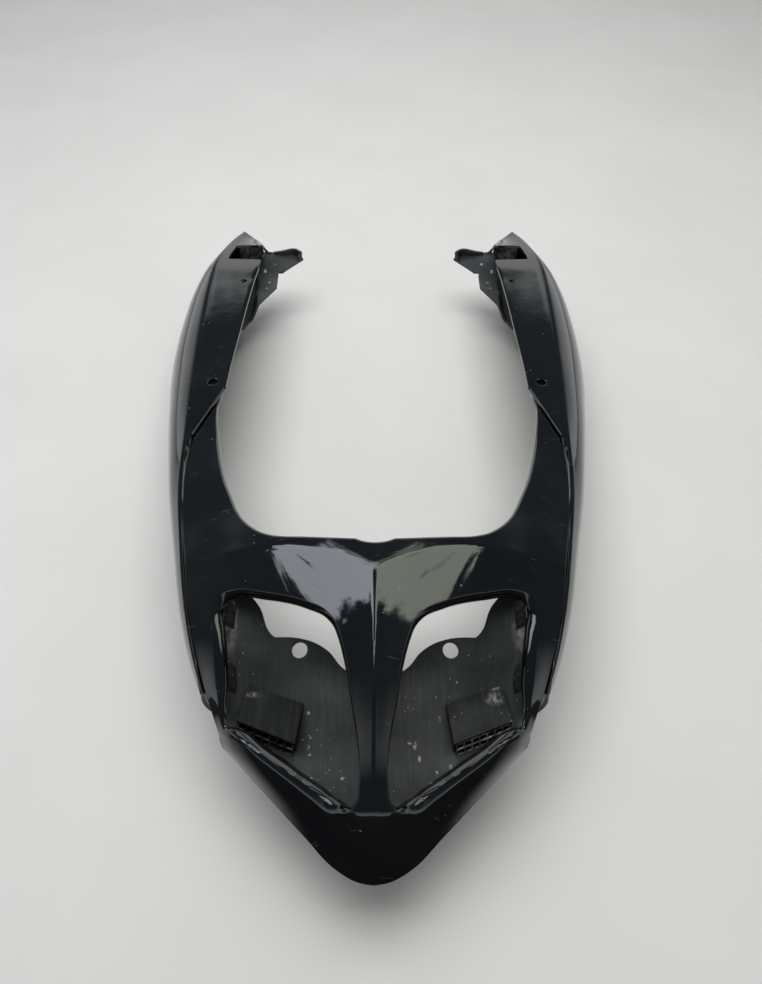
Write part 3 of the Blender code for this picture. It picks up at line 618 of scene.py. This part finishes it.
PANEL_WALL = 2.4
PANEL_ROWS = [
    [(99, -198, 75.6), (100, -198, 75), (101.2, -198, 70), (101.6, -198, 63), (100.3, -198, 55),
     (97.6, -198, 48)],
    [(107, -175, 84.4), (108.4, -175, 83.7), (111, -175, 77), (112.5, -175, 65), (111, -175, 48),
     (107, -175, 31)],
    [(115.4, -144, 89.6), (117.2, -144, 89), (120.8, -144, 82), (123.4, -144, 66),
     (120.7, -144, 40), (114, -144, 12)],
    [(124.3, -100, 94.2), (126.5, -100, 93.5), (131.5, -100, 85), (134.8, -100, 67),
     (131.7, -100, 37), (122.8, -100, -1)],
    [(133.4, -47, 92), (136.8, -47, 91.4), (144.2, -47, 83.5), (148.7, -47, 65), (144.7, -47, 35),
     (134.8, -47, -1.5)],
    [(135.6, -11, 92), (139.4, -11, 91.8), (150.3, -11, 83), (156.5, -11, 64), (152.7, -11, 34),
     (141.8, -11, -1.5)],
    [(117.2, 24, 91.4), (141.7, 24, 91), (155.7, 24, 82), (163.7, 24, 62), (159.7, 24, 33),
     (147.8, 24, -1.5)],
    [(117.1, 50, 90.7), (143.8, 50, 90.4), (159.2, 50, 81), (168.2, 50, 61), (164.7, 50, 32),
     (151.8, 50, -1.5)],
    [(116.8, 75, 90), (146, 75, 89.8), (162.2, 75, 80), (172.4, 75, 60), (168.6, 75, 31),
     (155.7, 75, -1.5)],
    [(115.3, 120, 88.3), (149.3, 120, 88), (166.2, 120, 78.5), (176.4, 120, 59), (173.4, 120, 31),
     (160.7, 120, -1.5)],
    [(114.1, 160, 86.8), (151.6, 160, 86.5), (167.2, 160, 77.5), (176.8, 160, 59),
     (174.4, 160, 31), (161.7, 160, -1.5)],
    [(112.4, 198, 85.5), (152.8, 198, 85.3), (165.7, 198, 77.5), (174.3, 198, 60),
     (172.0, 198, 33), (159.8, 198, -0.5)],
    [(110.2, 230, 84.5), (152.2, 232, 84.3), (160.3, 231, 78), (166.8, 230, 62), (164.8, 229, 38),
     (153.9, 228, 6)],
    [(112.2, 252, 82.2), (146.3, 256, 82.8), (151.9, 254, 77.5), (156.7, 252, 64),
     (154.9, 250, 43), (146.4, 248, 18)],
    [(115.2, 270, 76.5), (139.8, 276, 81), (144, 273, 76.5), (147.5, 270, 66), (146.5, 267, 50),
     (140.5, 264, 32)],
    [(115.7, 281, 70.5), (133.5, 289.8, 79), (137.8, 286, 75), (140.6, 282, 67), (140, 279, 56),
     (135, 276, 44)],
]
CREASE_COL = 1
PANEL_STEPS = 10
PANEL_RELAX = 12
PANEL_CUT_REACH = 9.0
LEDGE_HOLE_REACH = 5.0
HOLE_RIM_WALL = 0.6
SEAM_SHARES = (0.02, 0.91, 40)
WINDOW_EDGE = [(100, 231.2), (141, 233.2), (140.4, 241), (136.6, 259), (116, 264.5), (100, 264.5)]
SEAM_EDGE = [(95, 46.4), (117.6, 46.4), (135.5, -10.6), (135.5, -14), (95, -14)]
LEDGE_HOLES = [ROOT_HOLE, ((122.0, 195.6), 5.6)]
PANEL_ROLL = 0.6
PANEL_LIP = 2.2
PANEL_FOOT = 0.2
REBATE_ROWS = slice(40, 91)
REBATE_UNDER = 5
REBATE_REACH = 3.0
REBATE_DROP = 2.8
REBATE_WALL = 2.0


def circle(centre, size, count=32):
    turns = np.linspace(0.0, 2 * np.pi, count, endpoint=False)
    return np.array(centre) + size / 2 * np.stack([np.cos(turns), np.sin(turns)], axis=1)


panel_points = surface_points(PANEL_ROWS, PANEL_STEPS, PANEL_STEPS, (), (CREASE_COL,))
for word, side in (("left", -1), ("right", 1)):
    flip = np.array([side, 1.0])
    points = panel_points * np.array([side, 1.0, 1.0])
    sheet = laid_out(points)
    cols = points.shape[1]
    crease = {row * cols + CREASE_COL * PANEL_STEPS for row in range(points.shape[0])}
    outward = (side * 3, 0, 2)
    relax(sheet, crease, PANEL_RELAX)
    relax(sheet, set(), LAST_RELAX)
    face_towards(sheet, Vector(outward))
    tree = BVHTree.FromBMesh(sheet)
    edged = rolled(corners_of(sheet, points.shape[0])[:, ::-1], PANEL_ROLL, PANEL_LIP)
    sheet.free()
    sheet = laid_out(edged)
    face_towards(sheet, Vector(outward))
    everything = sheet.verts[:] + sheet.edges[:] + sheet.faces[:]
    bmesh.ops.bisect_plane(sheet, geom=everything, dist=1e-7, clear_outer=True,
                           plane_co=(0, 0, PANEL_FOOT * MM), plane_no=(0, 0, -1))
    seam = np.array(SEAM_EDGE) * flip
    seam_outer = grown(seam, PANEL_ROLL)
    cut_out(sheet, np.array(WINDOW_EDGE) * flip, PANEL_CUT_REACH)
    cut_out(sheet, seam_outer, PANEL_CUT_REACH)
    shares = np.linspace(*SEAM_SHARES)[:, None]
    runs = [line[1] + (line[2] - line[1]) * shares for line in (seam_outer, seam)]
    seam_rim = rim_strip(tree, *runs, ROLLED_EDGE, PANEL_LIP, False)
    panel_parts = [(sheet, PANEL_WALL, outward), (seam_rim, RIM_WALL, ABOVE)]
    for centre, size in LEDGE_HOLES:
        middle = (side * centre[0], centre[1])
        hole, hole_outer = [circle(middle, d) for d in (size, size + 2 * PANEL_ROLL)]
        cut_out(sheet, hole_outer, LEDGE_HOLE_REACH)
        rim = rim_strip(tree, hole_outer, hole, ROLLED_EDGE, PANEL_LIP)
        panel_parts.append((rim, HOLE_RIM_WALL, ABOVE))
    deck = lowered(cowl_points, REBATE_DROP)[REBATE_ROWS]
    last = cowl_cols - 1 if side > 0 else 0
    under = [deck[:, last - side * k] for k in range(REBATE_UNDER, -1, -1)]
    run = under[-1] - under[-2]
    beyond = under[-1] + run / np.linalg.norm(run, axis=1)[:, None] * REBATE_REACH
    rebate = laid_out(np.stack([*under, beyond], axis=1))
    panel = into_piece("panel_shell_" + word, gloss_black("panel_gloss_black_" + word),
                       [*panel_parts, (rebate, REBATE_WALL, ABOVE)])
    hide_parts("side_panel_" + word)

# Undertray
# A dull black tub moulded without paint, scuffed and speckled, that closes the tail below the
# lamp openings. It has two front ears with a hole each, two small hoods over the vents and
# narrow flanges bonded under the cowl.

TRAY_WALL = 2.0
TRAY_ROWS = [
    [(0, -140, 83), (20, -140, 83), (42, -138, 83), (60, -136, 84), (73, -135, 86.5),
     (84, -134, 89.5)],
    [(0, -166, 77.5), (20, -165, 77.5), (42, -163, 77), (60, -162, 77), (72, -158, 81),
     (86, -153, 84)],
    [(0, -182, 71.5), (20, -181, 71.5), (42, -179, 72), (59, -177, 72.5), (72, -176, 75),
     (85, -173, 77)],
    [(0, -203, 68), (18, -201, 68), (34, -196, 67.5), (52, -190, 66.5), (70, -187, 67.5),
     (82.5, -188, 70.5)],
    [(0, -222, 62), (15, -219, 61.5), (34, -211, 60.5), (54, -203, 60.5), (70, -200, 62),
     (82, -202, 66)],
    [(0, -243, 58), (13, -240, 57.5), (32, -230, 57), (52, -219.5, 57.5), (68, -211.5, 59.5),
     (81, -211, 63.5)],
    [(0, -261.5, 60), (10, -259, 59.5), (29, -247.5, 59.5), (48.5, -234, 60), (65, -223, 61.5),
     (78, -217.5, 64)],
]
TRAY_FOLD_ROWS = (2, 6)
TRAY_FOLD_COLS = (3, 5)
TRAY_STEPS = 8
TRAY_TONE = (0.022, 0.024, 0.024)
DULL_SHARP = 30.0
DULL_BEVEL = 0.35
TRAY_TOP_SIDE = [(93, -136), (98, -152), (96.4, -172), (94.8, -188), (93.2, -203), (91, -212),
                 (88.6, -217.8)]
TRAY_TOP_REAR = [(0, -278), (12, -276.3), (30.5, -264.6), (50.5, -249.4), (66.5, -237),
                 (76.5, -229), (85.5, -223)]
TRAY_TOP_SIDE_DROP = 4.0
TRAY_TOP_REAR_DROP = 5.0
TRAY_FRONT_EDGE = [(0, -184), (14, -183), (20.5, -179), (27, -171.6), (35.8, -166), (46.3, -162.9),
                   (61, -162.4), (64, -160), (70.5, -146), (76, -139.6)]
TRAY_CUT_REACH = (130, -100)
EAR_HOLE = ((45.6, -169.5), 9.6)
EAR_HOLE_DEPTH = 4.0
EAR_RIM_GROWTH = 1.2
HOOD_EDGE = [(74.6, -189.5), (41.6, -199.6), (44.8, -224.6), (78.2, -213.4)]
HOOD_BACK_RISE = 1.6
HOOD_MOUTH_RISE = 11.0
HOOD_WALL = 1.8
HOOD_SINK = 1.0
HOOD_POINTS = 9
HOOD_TONE = (0.011, 0.012, 0.012)
HOOD_SHINE = 0.14
# Lighter places on the hoods: a painted highlight on the left hood, and a painted highlight and a
# smudge on the right hood.
HOOD_HIGHLIGHTS_AND_SMUDGES = {1: [((70, -190), (3.0, 2.4)), ((70, -198), (4.6, 3.6))],
               -1: [((-71, -196), (4.2, 1.6))]}
FLANGE_WALL = 2.0
FLANGE_DROP = 2.8
REAR_FLANGE_ROWS = slice(115, 121)
REAR_FLANGE_HALF = 55
SIDE_FLANGE_ROWS = slice(65, 81)
SIDE_FLANGE_COLS = (59, 63)


def spot_mask(wire, place, centre, size, edge=0.35):
    """1 inside an oval in plan at centre, of the given half widths, all in millimetres."""
    moved = wire.node("Mapping", {"vector_type": "TEXTURE"},
                      {"Vector": place, "Location": placed((centre[0], centre[1], 0.0)),
                       "Scale": (size[0] * MM, size[1] * MM, 1.0)})
    flat = wire.node("VectorMath", {"operation": "MULTIPLY"}, {0: moved, 1: (1, 1, 0)})
    away = wire.node("VectorMath", {"operation": "LENGTH"}, {0: flat}, "Value")
    return 1 - away.between(1.0 - edge, 1.0 + edge)


def worn_plastic(name, tone, marks=(), smudges_and_highlights=(), painted_sheens=(), shine=0.5):
    """Unpainted black plastic with specks, scuffs and marks, smudges and painted highlights, and
    painted sheen.
    """
    material, shader, wire, place = new_material(name)
    cells = wire.node("TexVoronoi", {}, {"Vector": place, "Scale": 150.0}, "Distance")
    small = wire.node("TexVoronoi", {}, {"Vector": place, "Scale": 330.0}, "Distance")
    chance = wire.noise(place, 48.0, 2.0)
    specks = (1 - cells.between(0.08, 0.17)) * chance.between(0.585, 0.63)
    specks = specks.most((1 - small.between(0.07, 0.16)) * chance.between(0.54, 0.60) * 0.6)
    ragged = wire.noise(place, 560.0, 4.0, 0.7).between(0.44, 0.56)
    for centre, size in marks:
        specks = specks.most(spot_mask(wire, place, centre, size) * ragged)
    film = wire.noise(place, 17.0, 4.0, 0.6).between(0.42, 0.72)
    brushed = wire.noise(place.stretched((520.0, 34.0, 120.0)), 1.0, 3.0).between(0.45, 0.70)
    # Smudges: lighter, less rough, streaked places. On the hoods these are mostly painted highlights.
    smudge_and_highlight = film * 0.0
    for centre, size in smudges_and_highlights:
        smudge_and_highlight = smudge_and_highlight.most(spot_mask(wire, place, centre, size, 0.6))
    streaks = wire.noise(place.stretched((60.0, 26.0, 60.0)), 3.0, 4.0, 0.65)
    smudge_and_highlight = smudge_and_highlight * streaks.between(0.40, 0.62)
    # Painted sheen: lighter ovals that stand in for light reflected off the surface.
    painted_sheen = film * 0.0
    for centre, size in painted_sheens:
        painted_sheen = painted_sheen.most(spot_mask(wire, place, centre, size, 0.7))
    shade = film * 0.06 + brushed * 0.02 + smudge_and_highlight * 0.55 + specks * 1.2
    shade = shade + painted_sheen * (0.075 + brushed * 0.03)
    colour = shade.blended((*tone, 1), (0.40, 0.41, 0.39, 1))
    rough = 0.50 - brushed * 0.04 - smudge_and_highlight * 0.2 + specks * 0.2 - film * 0.07
    relief = (wire.noise(place, 900.0, 2.0) * 0.03 + wire.noise(place, 30.0, 2.0) * 0.10
              + specks * 0.08)
    bump = wire.node("Bump", {}, {"Height": relief, "Strength": 1.0, "Distance": 0.001})
    feed(shader, Base_Color=colour, Roughness=rough, Normal=bump, IOR=1.5, Specular_IOR_Level=shine)
    return material


def above_tray(spot, rise):
    """The point over a spot in plan that lies above the tray's floor by rise."""
    return np.array((*spot[:2], straight_down(tray_tree, *spot[:2])[2] + rise))


tray_rows = [[*row, tuple(straight_down(cowl_tree, *at, TRAY_TOP_SIDE_DROP))]
             for row, at in zip(TRAY_ROWS, TRAY_TOP_SIDE)]
tray_rows.append([tuple(straight_down(cowl_tree, x + 0.01, y, TRAY_TOP_REAR_DROP))
                  for x, y in TRAY_TOP_REAR])
tray_rows[-1][0] = (0.0, *tray_rows[-1][0][1:])
tray_half = surface_points(tray_rows, TRAY_STEPS, TRAY_STEPS, TRAY_FOLD_ROWS, TRAY_FOLD_COLS)
tray_sheet = laid_out(mirrored(tray_half))
relax(tray_sheet, set(), LAST_RELAX)
face_towards(tray_sheet, Vector(ABOVE))
tray_tree = BVHTree.FromBMesh(tray_sheet)
front = [tuple(p[:2]) for p in run_through([(*p, 0.0) for p in TRAY_FRONT_EDGE], 4, (6,))]
half = front + [(TRAY_CUT_REACH[0], front[-1][1]), TRAY_CUT_REACH]
tray_cut = np.array(half + [(-x, y) for x, y in reversed(half[1:])])
cut_out(tray_sheet, tray_cut, PANEL_CUT_REACH)
tray_parts = [(tray_sheet, TRAY_WALL, ABOVE)]
flange_points = lowered(cowl_points, FLANGE_DROP)
rear_cols = slice(middle_col - REAR_FLANGE_HALF, middle_col + REAR_FLANGE_HALF + 1)
rear_flange = laid_out(flange_points[REAR_FLANGE_ROWS, rear_cols])
tray_parts.append((rear_flange, FLANGE_WALL, ABOVE))
mouths = {}
for side in (1, -1):
    centre = (side * EAR_HOLE[0][0], EAR_HOLE[0][1])
    hole = circle(centre, EAR_HOLE[1])
    hole_outer = circle(centre, EAR_HOLE[1] + EAR_RIM_GROWTH)
    cut_out(tray_sheet, hole_outer)
    rim = rim_strip(tray_tree, hole_outer, hole, ROLLED_EDGE, EAR_HOLE_DEPTH)
    tray_parts.append((rim, HOLE_RIM_WALL, ABOVE))
    near_edge = sorted(middle_col + side * col for col in SIDE_FLANGE_COLS)
    side_flange = laid_out(flange_points[SIDE_FLANGE_ROWS, near_edge[0]:near_edge[1] + 1])
    tray_parts.append((side_flange, FLANGE_WALL, ABOVE))
    corners = [np.array((side * x, y)) for x, y in HOOD_EDGE]
    rises = (HOOD_BACK_RISE, HOOD_BACK_RISE, HOOD_MOUTH_RISE, HOOD_MOUTH_RISE)
    back_out, back_in, mouth_in, mouth_out = [above_tray(*pair) for pair in zip(corners, rises)]
    mouths[side] = (mouth_in, mouth_out)
    roof = []
    for u in np.linspace(0.0, 1.0, HOOD_POINTS):
        start = back_out * (1 - u) + mouth_out * u
        stop = back_in * (1 - u) + mouth_in * u
        line = [start * (1 - v) + stop * v for v in np.linspace(0.0, 1.0, HOOD_POINTS)]
        roof.append([above_tray(start, -HOOD_SINK), *line, above_tray(stop, -HOOD_SINK)])
    foot = [above_tray(p, -HOOD_SINK) for p in roof[0]]
    hood_name = "vent_hood_" + ("right" if side > 0 else "left")
    hood_black = worn_plastic(hood_name + "_worn_black", HOOD_TONE, smudges_and_highlights=HOOD_HIGHLIGHTS_AND_SMUDGES[side],
                              shine=HOOD_SHINE)
    hood_sheet = laid_out(np.array([foot, *roof]))
    hood = into_piece(hood_name, hood_black, [(hood_sheet, HOOD_WALL, ABOVE)], DULL_SHARP,
                      DULL_BEVEL)
    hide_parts("undertray")
tray_marks = [((-39, -204), (1.0, 0.8)), ((-38.2, -222), (0.8, 1.3)), ((-37.3, -226.5), (0.9, 0.7)),
              ((-46, -241), (1.1, 0.9)), ((23, -222), (0.9, 2.2)), ((25.5, -229), (0.8, 1.5)),
              ((43, -235), (0.9, 2.6)), ((44, -242), (0.8, 1.6)), ((35, -237), (0.7, 1.2)),
              ((31, -243), (0.7, 1.0)), ((20, -221), (1.2, 0.5)), ((38, -207), (0.5, 1.4))]
tray_smears = [((-92, -158), (7.0, 16.0)), ((92, -158), (7.0, 16.0))]
# Painted reflection: two lighter ovals on the tray's floor that stand in for the room it reflects.
tray_painted_sheens = [((0, -200), (50.0, 17.0)), ((0, -228), (26.0, 14.0))]
tray_black = worn_plastic("tray_worn_black", TRAY_TONE, tray_marks, tray_smears, tray_painted_sheens)
tray = into_piece("undertray_tub", tray_black, tray_parts, DULL_SHARP, DULL_BEVEL)
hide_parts("undertray")

# Vent grilles
# Small square-celled grids of dull grey plastic that stand in the mouths of the hoods. Each
# leans out at its foot, which rests on the tray's floor.

GRILLE_CELLS = 7
GRILLE_UNDER = 2.0
GRILLE_LEAN = 3.0
GRILLE_BAR = 0.45
GRILLE_WALL = 0.9
GRILLE_SPAN = (0.04, 0.96)
GRILLE_LIFT = 0.3
# The left grid's tones are much darker than the right's. This is painted shade for the shaded mouth of
# the left hood.
GRILLE_TONES_SHADED_LEFT = {-1: ((0.012,) * 3, (0.10,) * 3), 1: ((0.10,) * 3, (0.42,) * 3)}

for word, side in (("left", -1), ("right", 1)):
    mouth_in, mouth_out = mouths[side]
    run = (mouth_out - mouth_in)[:2]
    out = np.array((run[1], -run[0])) * side / np.linalg.norm(run)
    top = [mouth_in + (mouth_out - mouth_in) * share - (0, 0, GRILLE_UNDER)
           for share in np.linspace(*GRILLE_SPAN, GRILLE_CELLS + 1)]
    low = [above_tray(p[:2] + out * GRILLE_LEAN, GRILLE_LIFT) for p in top]
    mesh = laid_out(np.array([low, (np.array(low) + top) / 2, top]))
    cells = mesh.faces[:]
    bmesh.ops.inset_individual(mesh, faces=cells, thickness=GRILLE_BAR * MM, use_even_offset=True)
    bmesh.ops.delete(mesh, geom=cells, context="FACES")
    grille_grey, shader, wire, place = new_material("grille_worn_grey_" + word)
    worn = wire.noise(place, 260.0, 3.0).between(0.42, 0.66)
    dull, pale = GRILLE_TONES_SHADED_LEFT[side]
    feed(shader, Base_Color=worn.blended((*dull, 1), (*pale, 1)), Roughness=0.5 - worn * 0.1)
    grille = into_piece("vent_grid_" + word, grille_grey, [(mesh, GRILLE_WALL, (0, -3, 2))])
    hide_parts("vent_grille_" + word)

# Bonding blobs
# Rough dark beads of adhesive on the tray's walls, where tray and cowl are joined. They keep the
# shapes of the solids and only get their material here.

for word in ("left", "right"):
    for spot_name in ("front", "rear"):
        bond_black, shader, wire, place = new_material("bond_rough_black_" + spot_name + "_" + word)
        grain = wire.noise(place, 700.0, 4.0, 0.7)
        pale = grain.between(0.60, 0.70)
        bump = wire.node("Bump", {}, {"Height": grain, "Strength": 1.0, "Distance": 0.0006})
        feed(shader, Base_Color=pale.blended((0.005, 0.005, 0.006, 1), (0.12, 0.12, 0.12, 1)),
             Roughness=0.55 + pale * 0.2, Normal=bump)
        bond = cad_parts["bond_" + spot_name + "_" + word]
        bond.data.materials.clear()
        bond.data.materials.append(bond_black)

# Front brackets
# Stepped plates of dull black plastic in the front of each arm, with a raised lip on the inner
# end, a flange bonded to the panel's wall and a thin wall that closes the arm's end behind the
# window.

BRACKET_WALL = 2.4
BRACKET_EDGE = [(172, 246), (156, 252), (143, 262), (128, 275), (118.4, 280.4), (108, 284.5),
                (98, 285.5), (82, 288.6), (76.4, 283.2), (80, 279.6), (96, 262.6), (100, 262.4),
                (100.6, 242), (120, 212), (129, 193.5), (150, 190), (176, 190)]
BRACKET_ROWS = [
    [(174, 292, 40), (150, 292, 42), (123.5, 292, 46), (118, 292, 65), (100, 292, 59), (70, 292, 54)],
    [(174, 277, 38), (150, 277, 40), (123.5, 277, 44), (118, 277, 60), (100, 277, 55), (70, 277, 50.5)],
    [(174, 257, 36), (150, 257, 37), (123.5, 257, 39), (118, 257, 50), (100, 257, 49.5), (70, 257, 48)],
    [(174, 232, 35), (150, 232, 35), (123.5, 232, 36), (118, 232, 46), (100, 232, 46), (70, 232, 45)],
    [(174, 205, 34), (150, 205, 34), (123.5, 205, 35), (118, 205, 43), (100, 205, 44), (70, 205, 44)],
    [(174, 180, 33), (150, 180, 33), (123.5, 180, 34), (118, 180, 41), (100, 180, 43), (70, 180, 43)],
]
BRACKET_STEPS = 8
BRACKET_TONE = (0.019, 0.021, 0.022)
BRACKET_GAP = 0.5
STEP_COLS = (2, 3)
END_LIP_LINE = [(106, 283.3), (98, 284.3), (83, 286.8), (78.2, 283), (81, 280.2)]
END_LIP_RISE = [1.5, 4.0, 6.5, 6.5, 4.5]
END_LIP_WALL = 2.2
END_LIP_SINK = 1.2
FRONT_WALL_IN = 1.2
FRONT_WALL_TOP = [(106.0, 282.6, 57.0), (111.0, 281.0, 62.0)]
FRONT_WALL_LOW = [(106.0, 282.4, 55.5), (111.0, 280.0, 54.0)]
FRONT_WALL_FOOT = ((115.7, 280.0, 66.5), (116.0, 276.0, 43.0))
FRONT_WALL_RUN = 20.0
FRONT_WALL_COLS = slice(0, 51, 2)
FRONT_WALL_ROWS = 7
FRONT_WALL_THICK = 1.6
FLANGE_GAP = 0.3
FLANGE_ROWS = slice(110, 131)
FLANGE_COLS = slice(30, 41)

panel_sheet = laid_out(panel_points)
panel_tree = BVHTree.FromBMesh(panel_sheet)
panel_sheet.free()
bracket_points = surface_points(BRACKET_ROWS, BRACKET_STEPS, BRACKET_STEPS, (), STEP_COLS)
root_col = STEP_COLS[0] * BRACKET_STEPS
for line in bracket_points[::-1]:
    root = line[root_col].copy()
    struck = panel_tree.ray_cast(placed(root), Vector((1, 0, 0)))[0]
    if struck is not None:
        wall_x = struck.x / MM - PANEL_WALL - BRACKET_GAP
    share = (line[:root_col, 0] - root[0]) / (line[0, 0] - root[0])
    moved = root[0] + share * (wall_x - root[0])
    for axis in (1, 2):
        line[:root_col, axis] = np.interp(-moved, -line[:root_col + 1, 0], line[:root_col + 1, axis])
    line[:root_col, 0] = moved
wall_strip = lowered(panel_points, PANEL_WALL + FLANGE_GAP)[FLANGE_ROWS, FLANGE_COLS]
bracket_marks = [((113, 262), (1.5, 1.6)), ((108, 248), (1.4, 1.2)), ((119, 236), (1.5, 1.5)),
                 ((104, 271), (1.8, 1.2)), ((123, 222), (1.1, 1.1)), ((110, 240), (1.2, 1.0))]
for word, side in (("left", -1), ("right", 1)):
    flip = np.array([side, 1.0, 1.0])
    sheet = laid_out(bracket_points * flip)
    relax(sheet, set(), LAST_RELAX)
    face_towards(sheet, Vector(ABOVE))
    tree = BVHTree.FromBMesh(sheet)
    cut_out(sheet, np.array(BRACKET_EDGE) * flip[:2], PANEL_CUT_REACH, True)
    line = run_through([(*p, rise) for p, rise in zip(END_LIP_LINE, END_LIP_RISE)], 5)
    travel = np.gradient(line[:, :2], axis=0)
    travel /= np.linalg.norm(travel, axis=1)[:, None]
    inner = line[:, :2] - np.stack([travel[:, 1], -travel[:, 0]], axis=1) * END_LIP_WALL / 2
    seats = np.array([straight_down(tree, side * x, y)[2] for x, y in line[:, :2]])
    levels = []
    for share in (0.0, 0.5, 1.0):
        heights = seats + share * line[:, 2] - END_LIP_SINK * (1 - share)
        levels.append(np.column_stack([inner[:, 0] * side, inner[:, 1], heights]))
    lip = laid_out(np.array(levels))
    flange = laid_out(wall_strip * flip)
    edge = lowered(panel_points, FRONT_WALL_IN)[-1, FRONT_WALL_COLS] - (0, 1.0, 0)
    down = np.array(FRONT_WALL_FOOT[1]) - FRONT_WALL_FOOT[0]
    foot = [FRONT_WALL_FOOT[0] + down * min(1.0, t * 2.5) for t in np.linspace(0, 1, len(edge))]
    out = np.maximum(0.0, np.linspace(0, 1, len(edge)) - 0.4)[:, None] * (FRONT_WALL_RUN, 0, 0)
    line_top = np.array([*FRONT_WALL_TOP, *edge]) * flip
    line_low = np.array([*FRONT_WALL_LOW, *(np.array(foot) + out)]) * flip
    rungs = [line_low + (line_top - line_low) * v for v in np.linspace(0, 1, FRONT_WALL_ROWS)]
    front_wall = laid_out(np.array(rungs))
    parts = [(sheet, BRACKET_WALL, ABOVE), (lip, END_LIP_WALL, (0, -3, 0)),
             (flange, FLANGE_WALL, (side * 3, 0, 2)), (front_wall, FRONT_WALL_THICK, (0, -3, 0.5))]
    scuffs = [((side * 127, 281), (13.0, 4.5))]
    marks = [((side * x, y), size) for (x, y), size in bracket_marks]
    bracket_black = worn_plastic("bracket_worn_black_" + word, BRACKET_TONE, marks, scuffs)
    bracket = into_piece("bracket_plate_" + word, bracket_black, parts, DULL_SHARP, DULL_BEVEL)
    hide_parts("front_bracket_" + word)
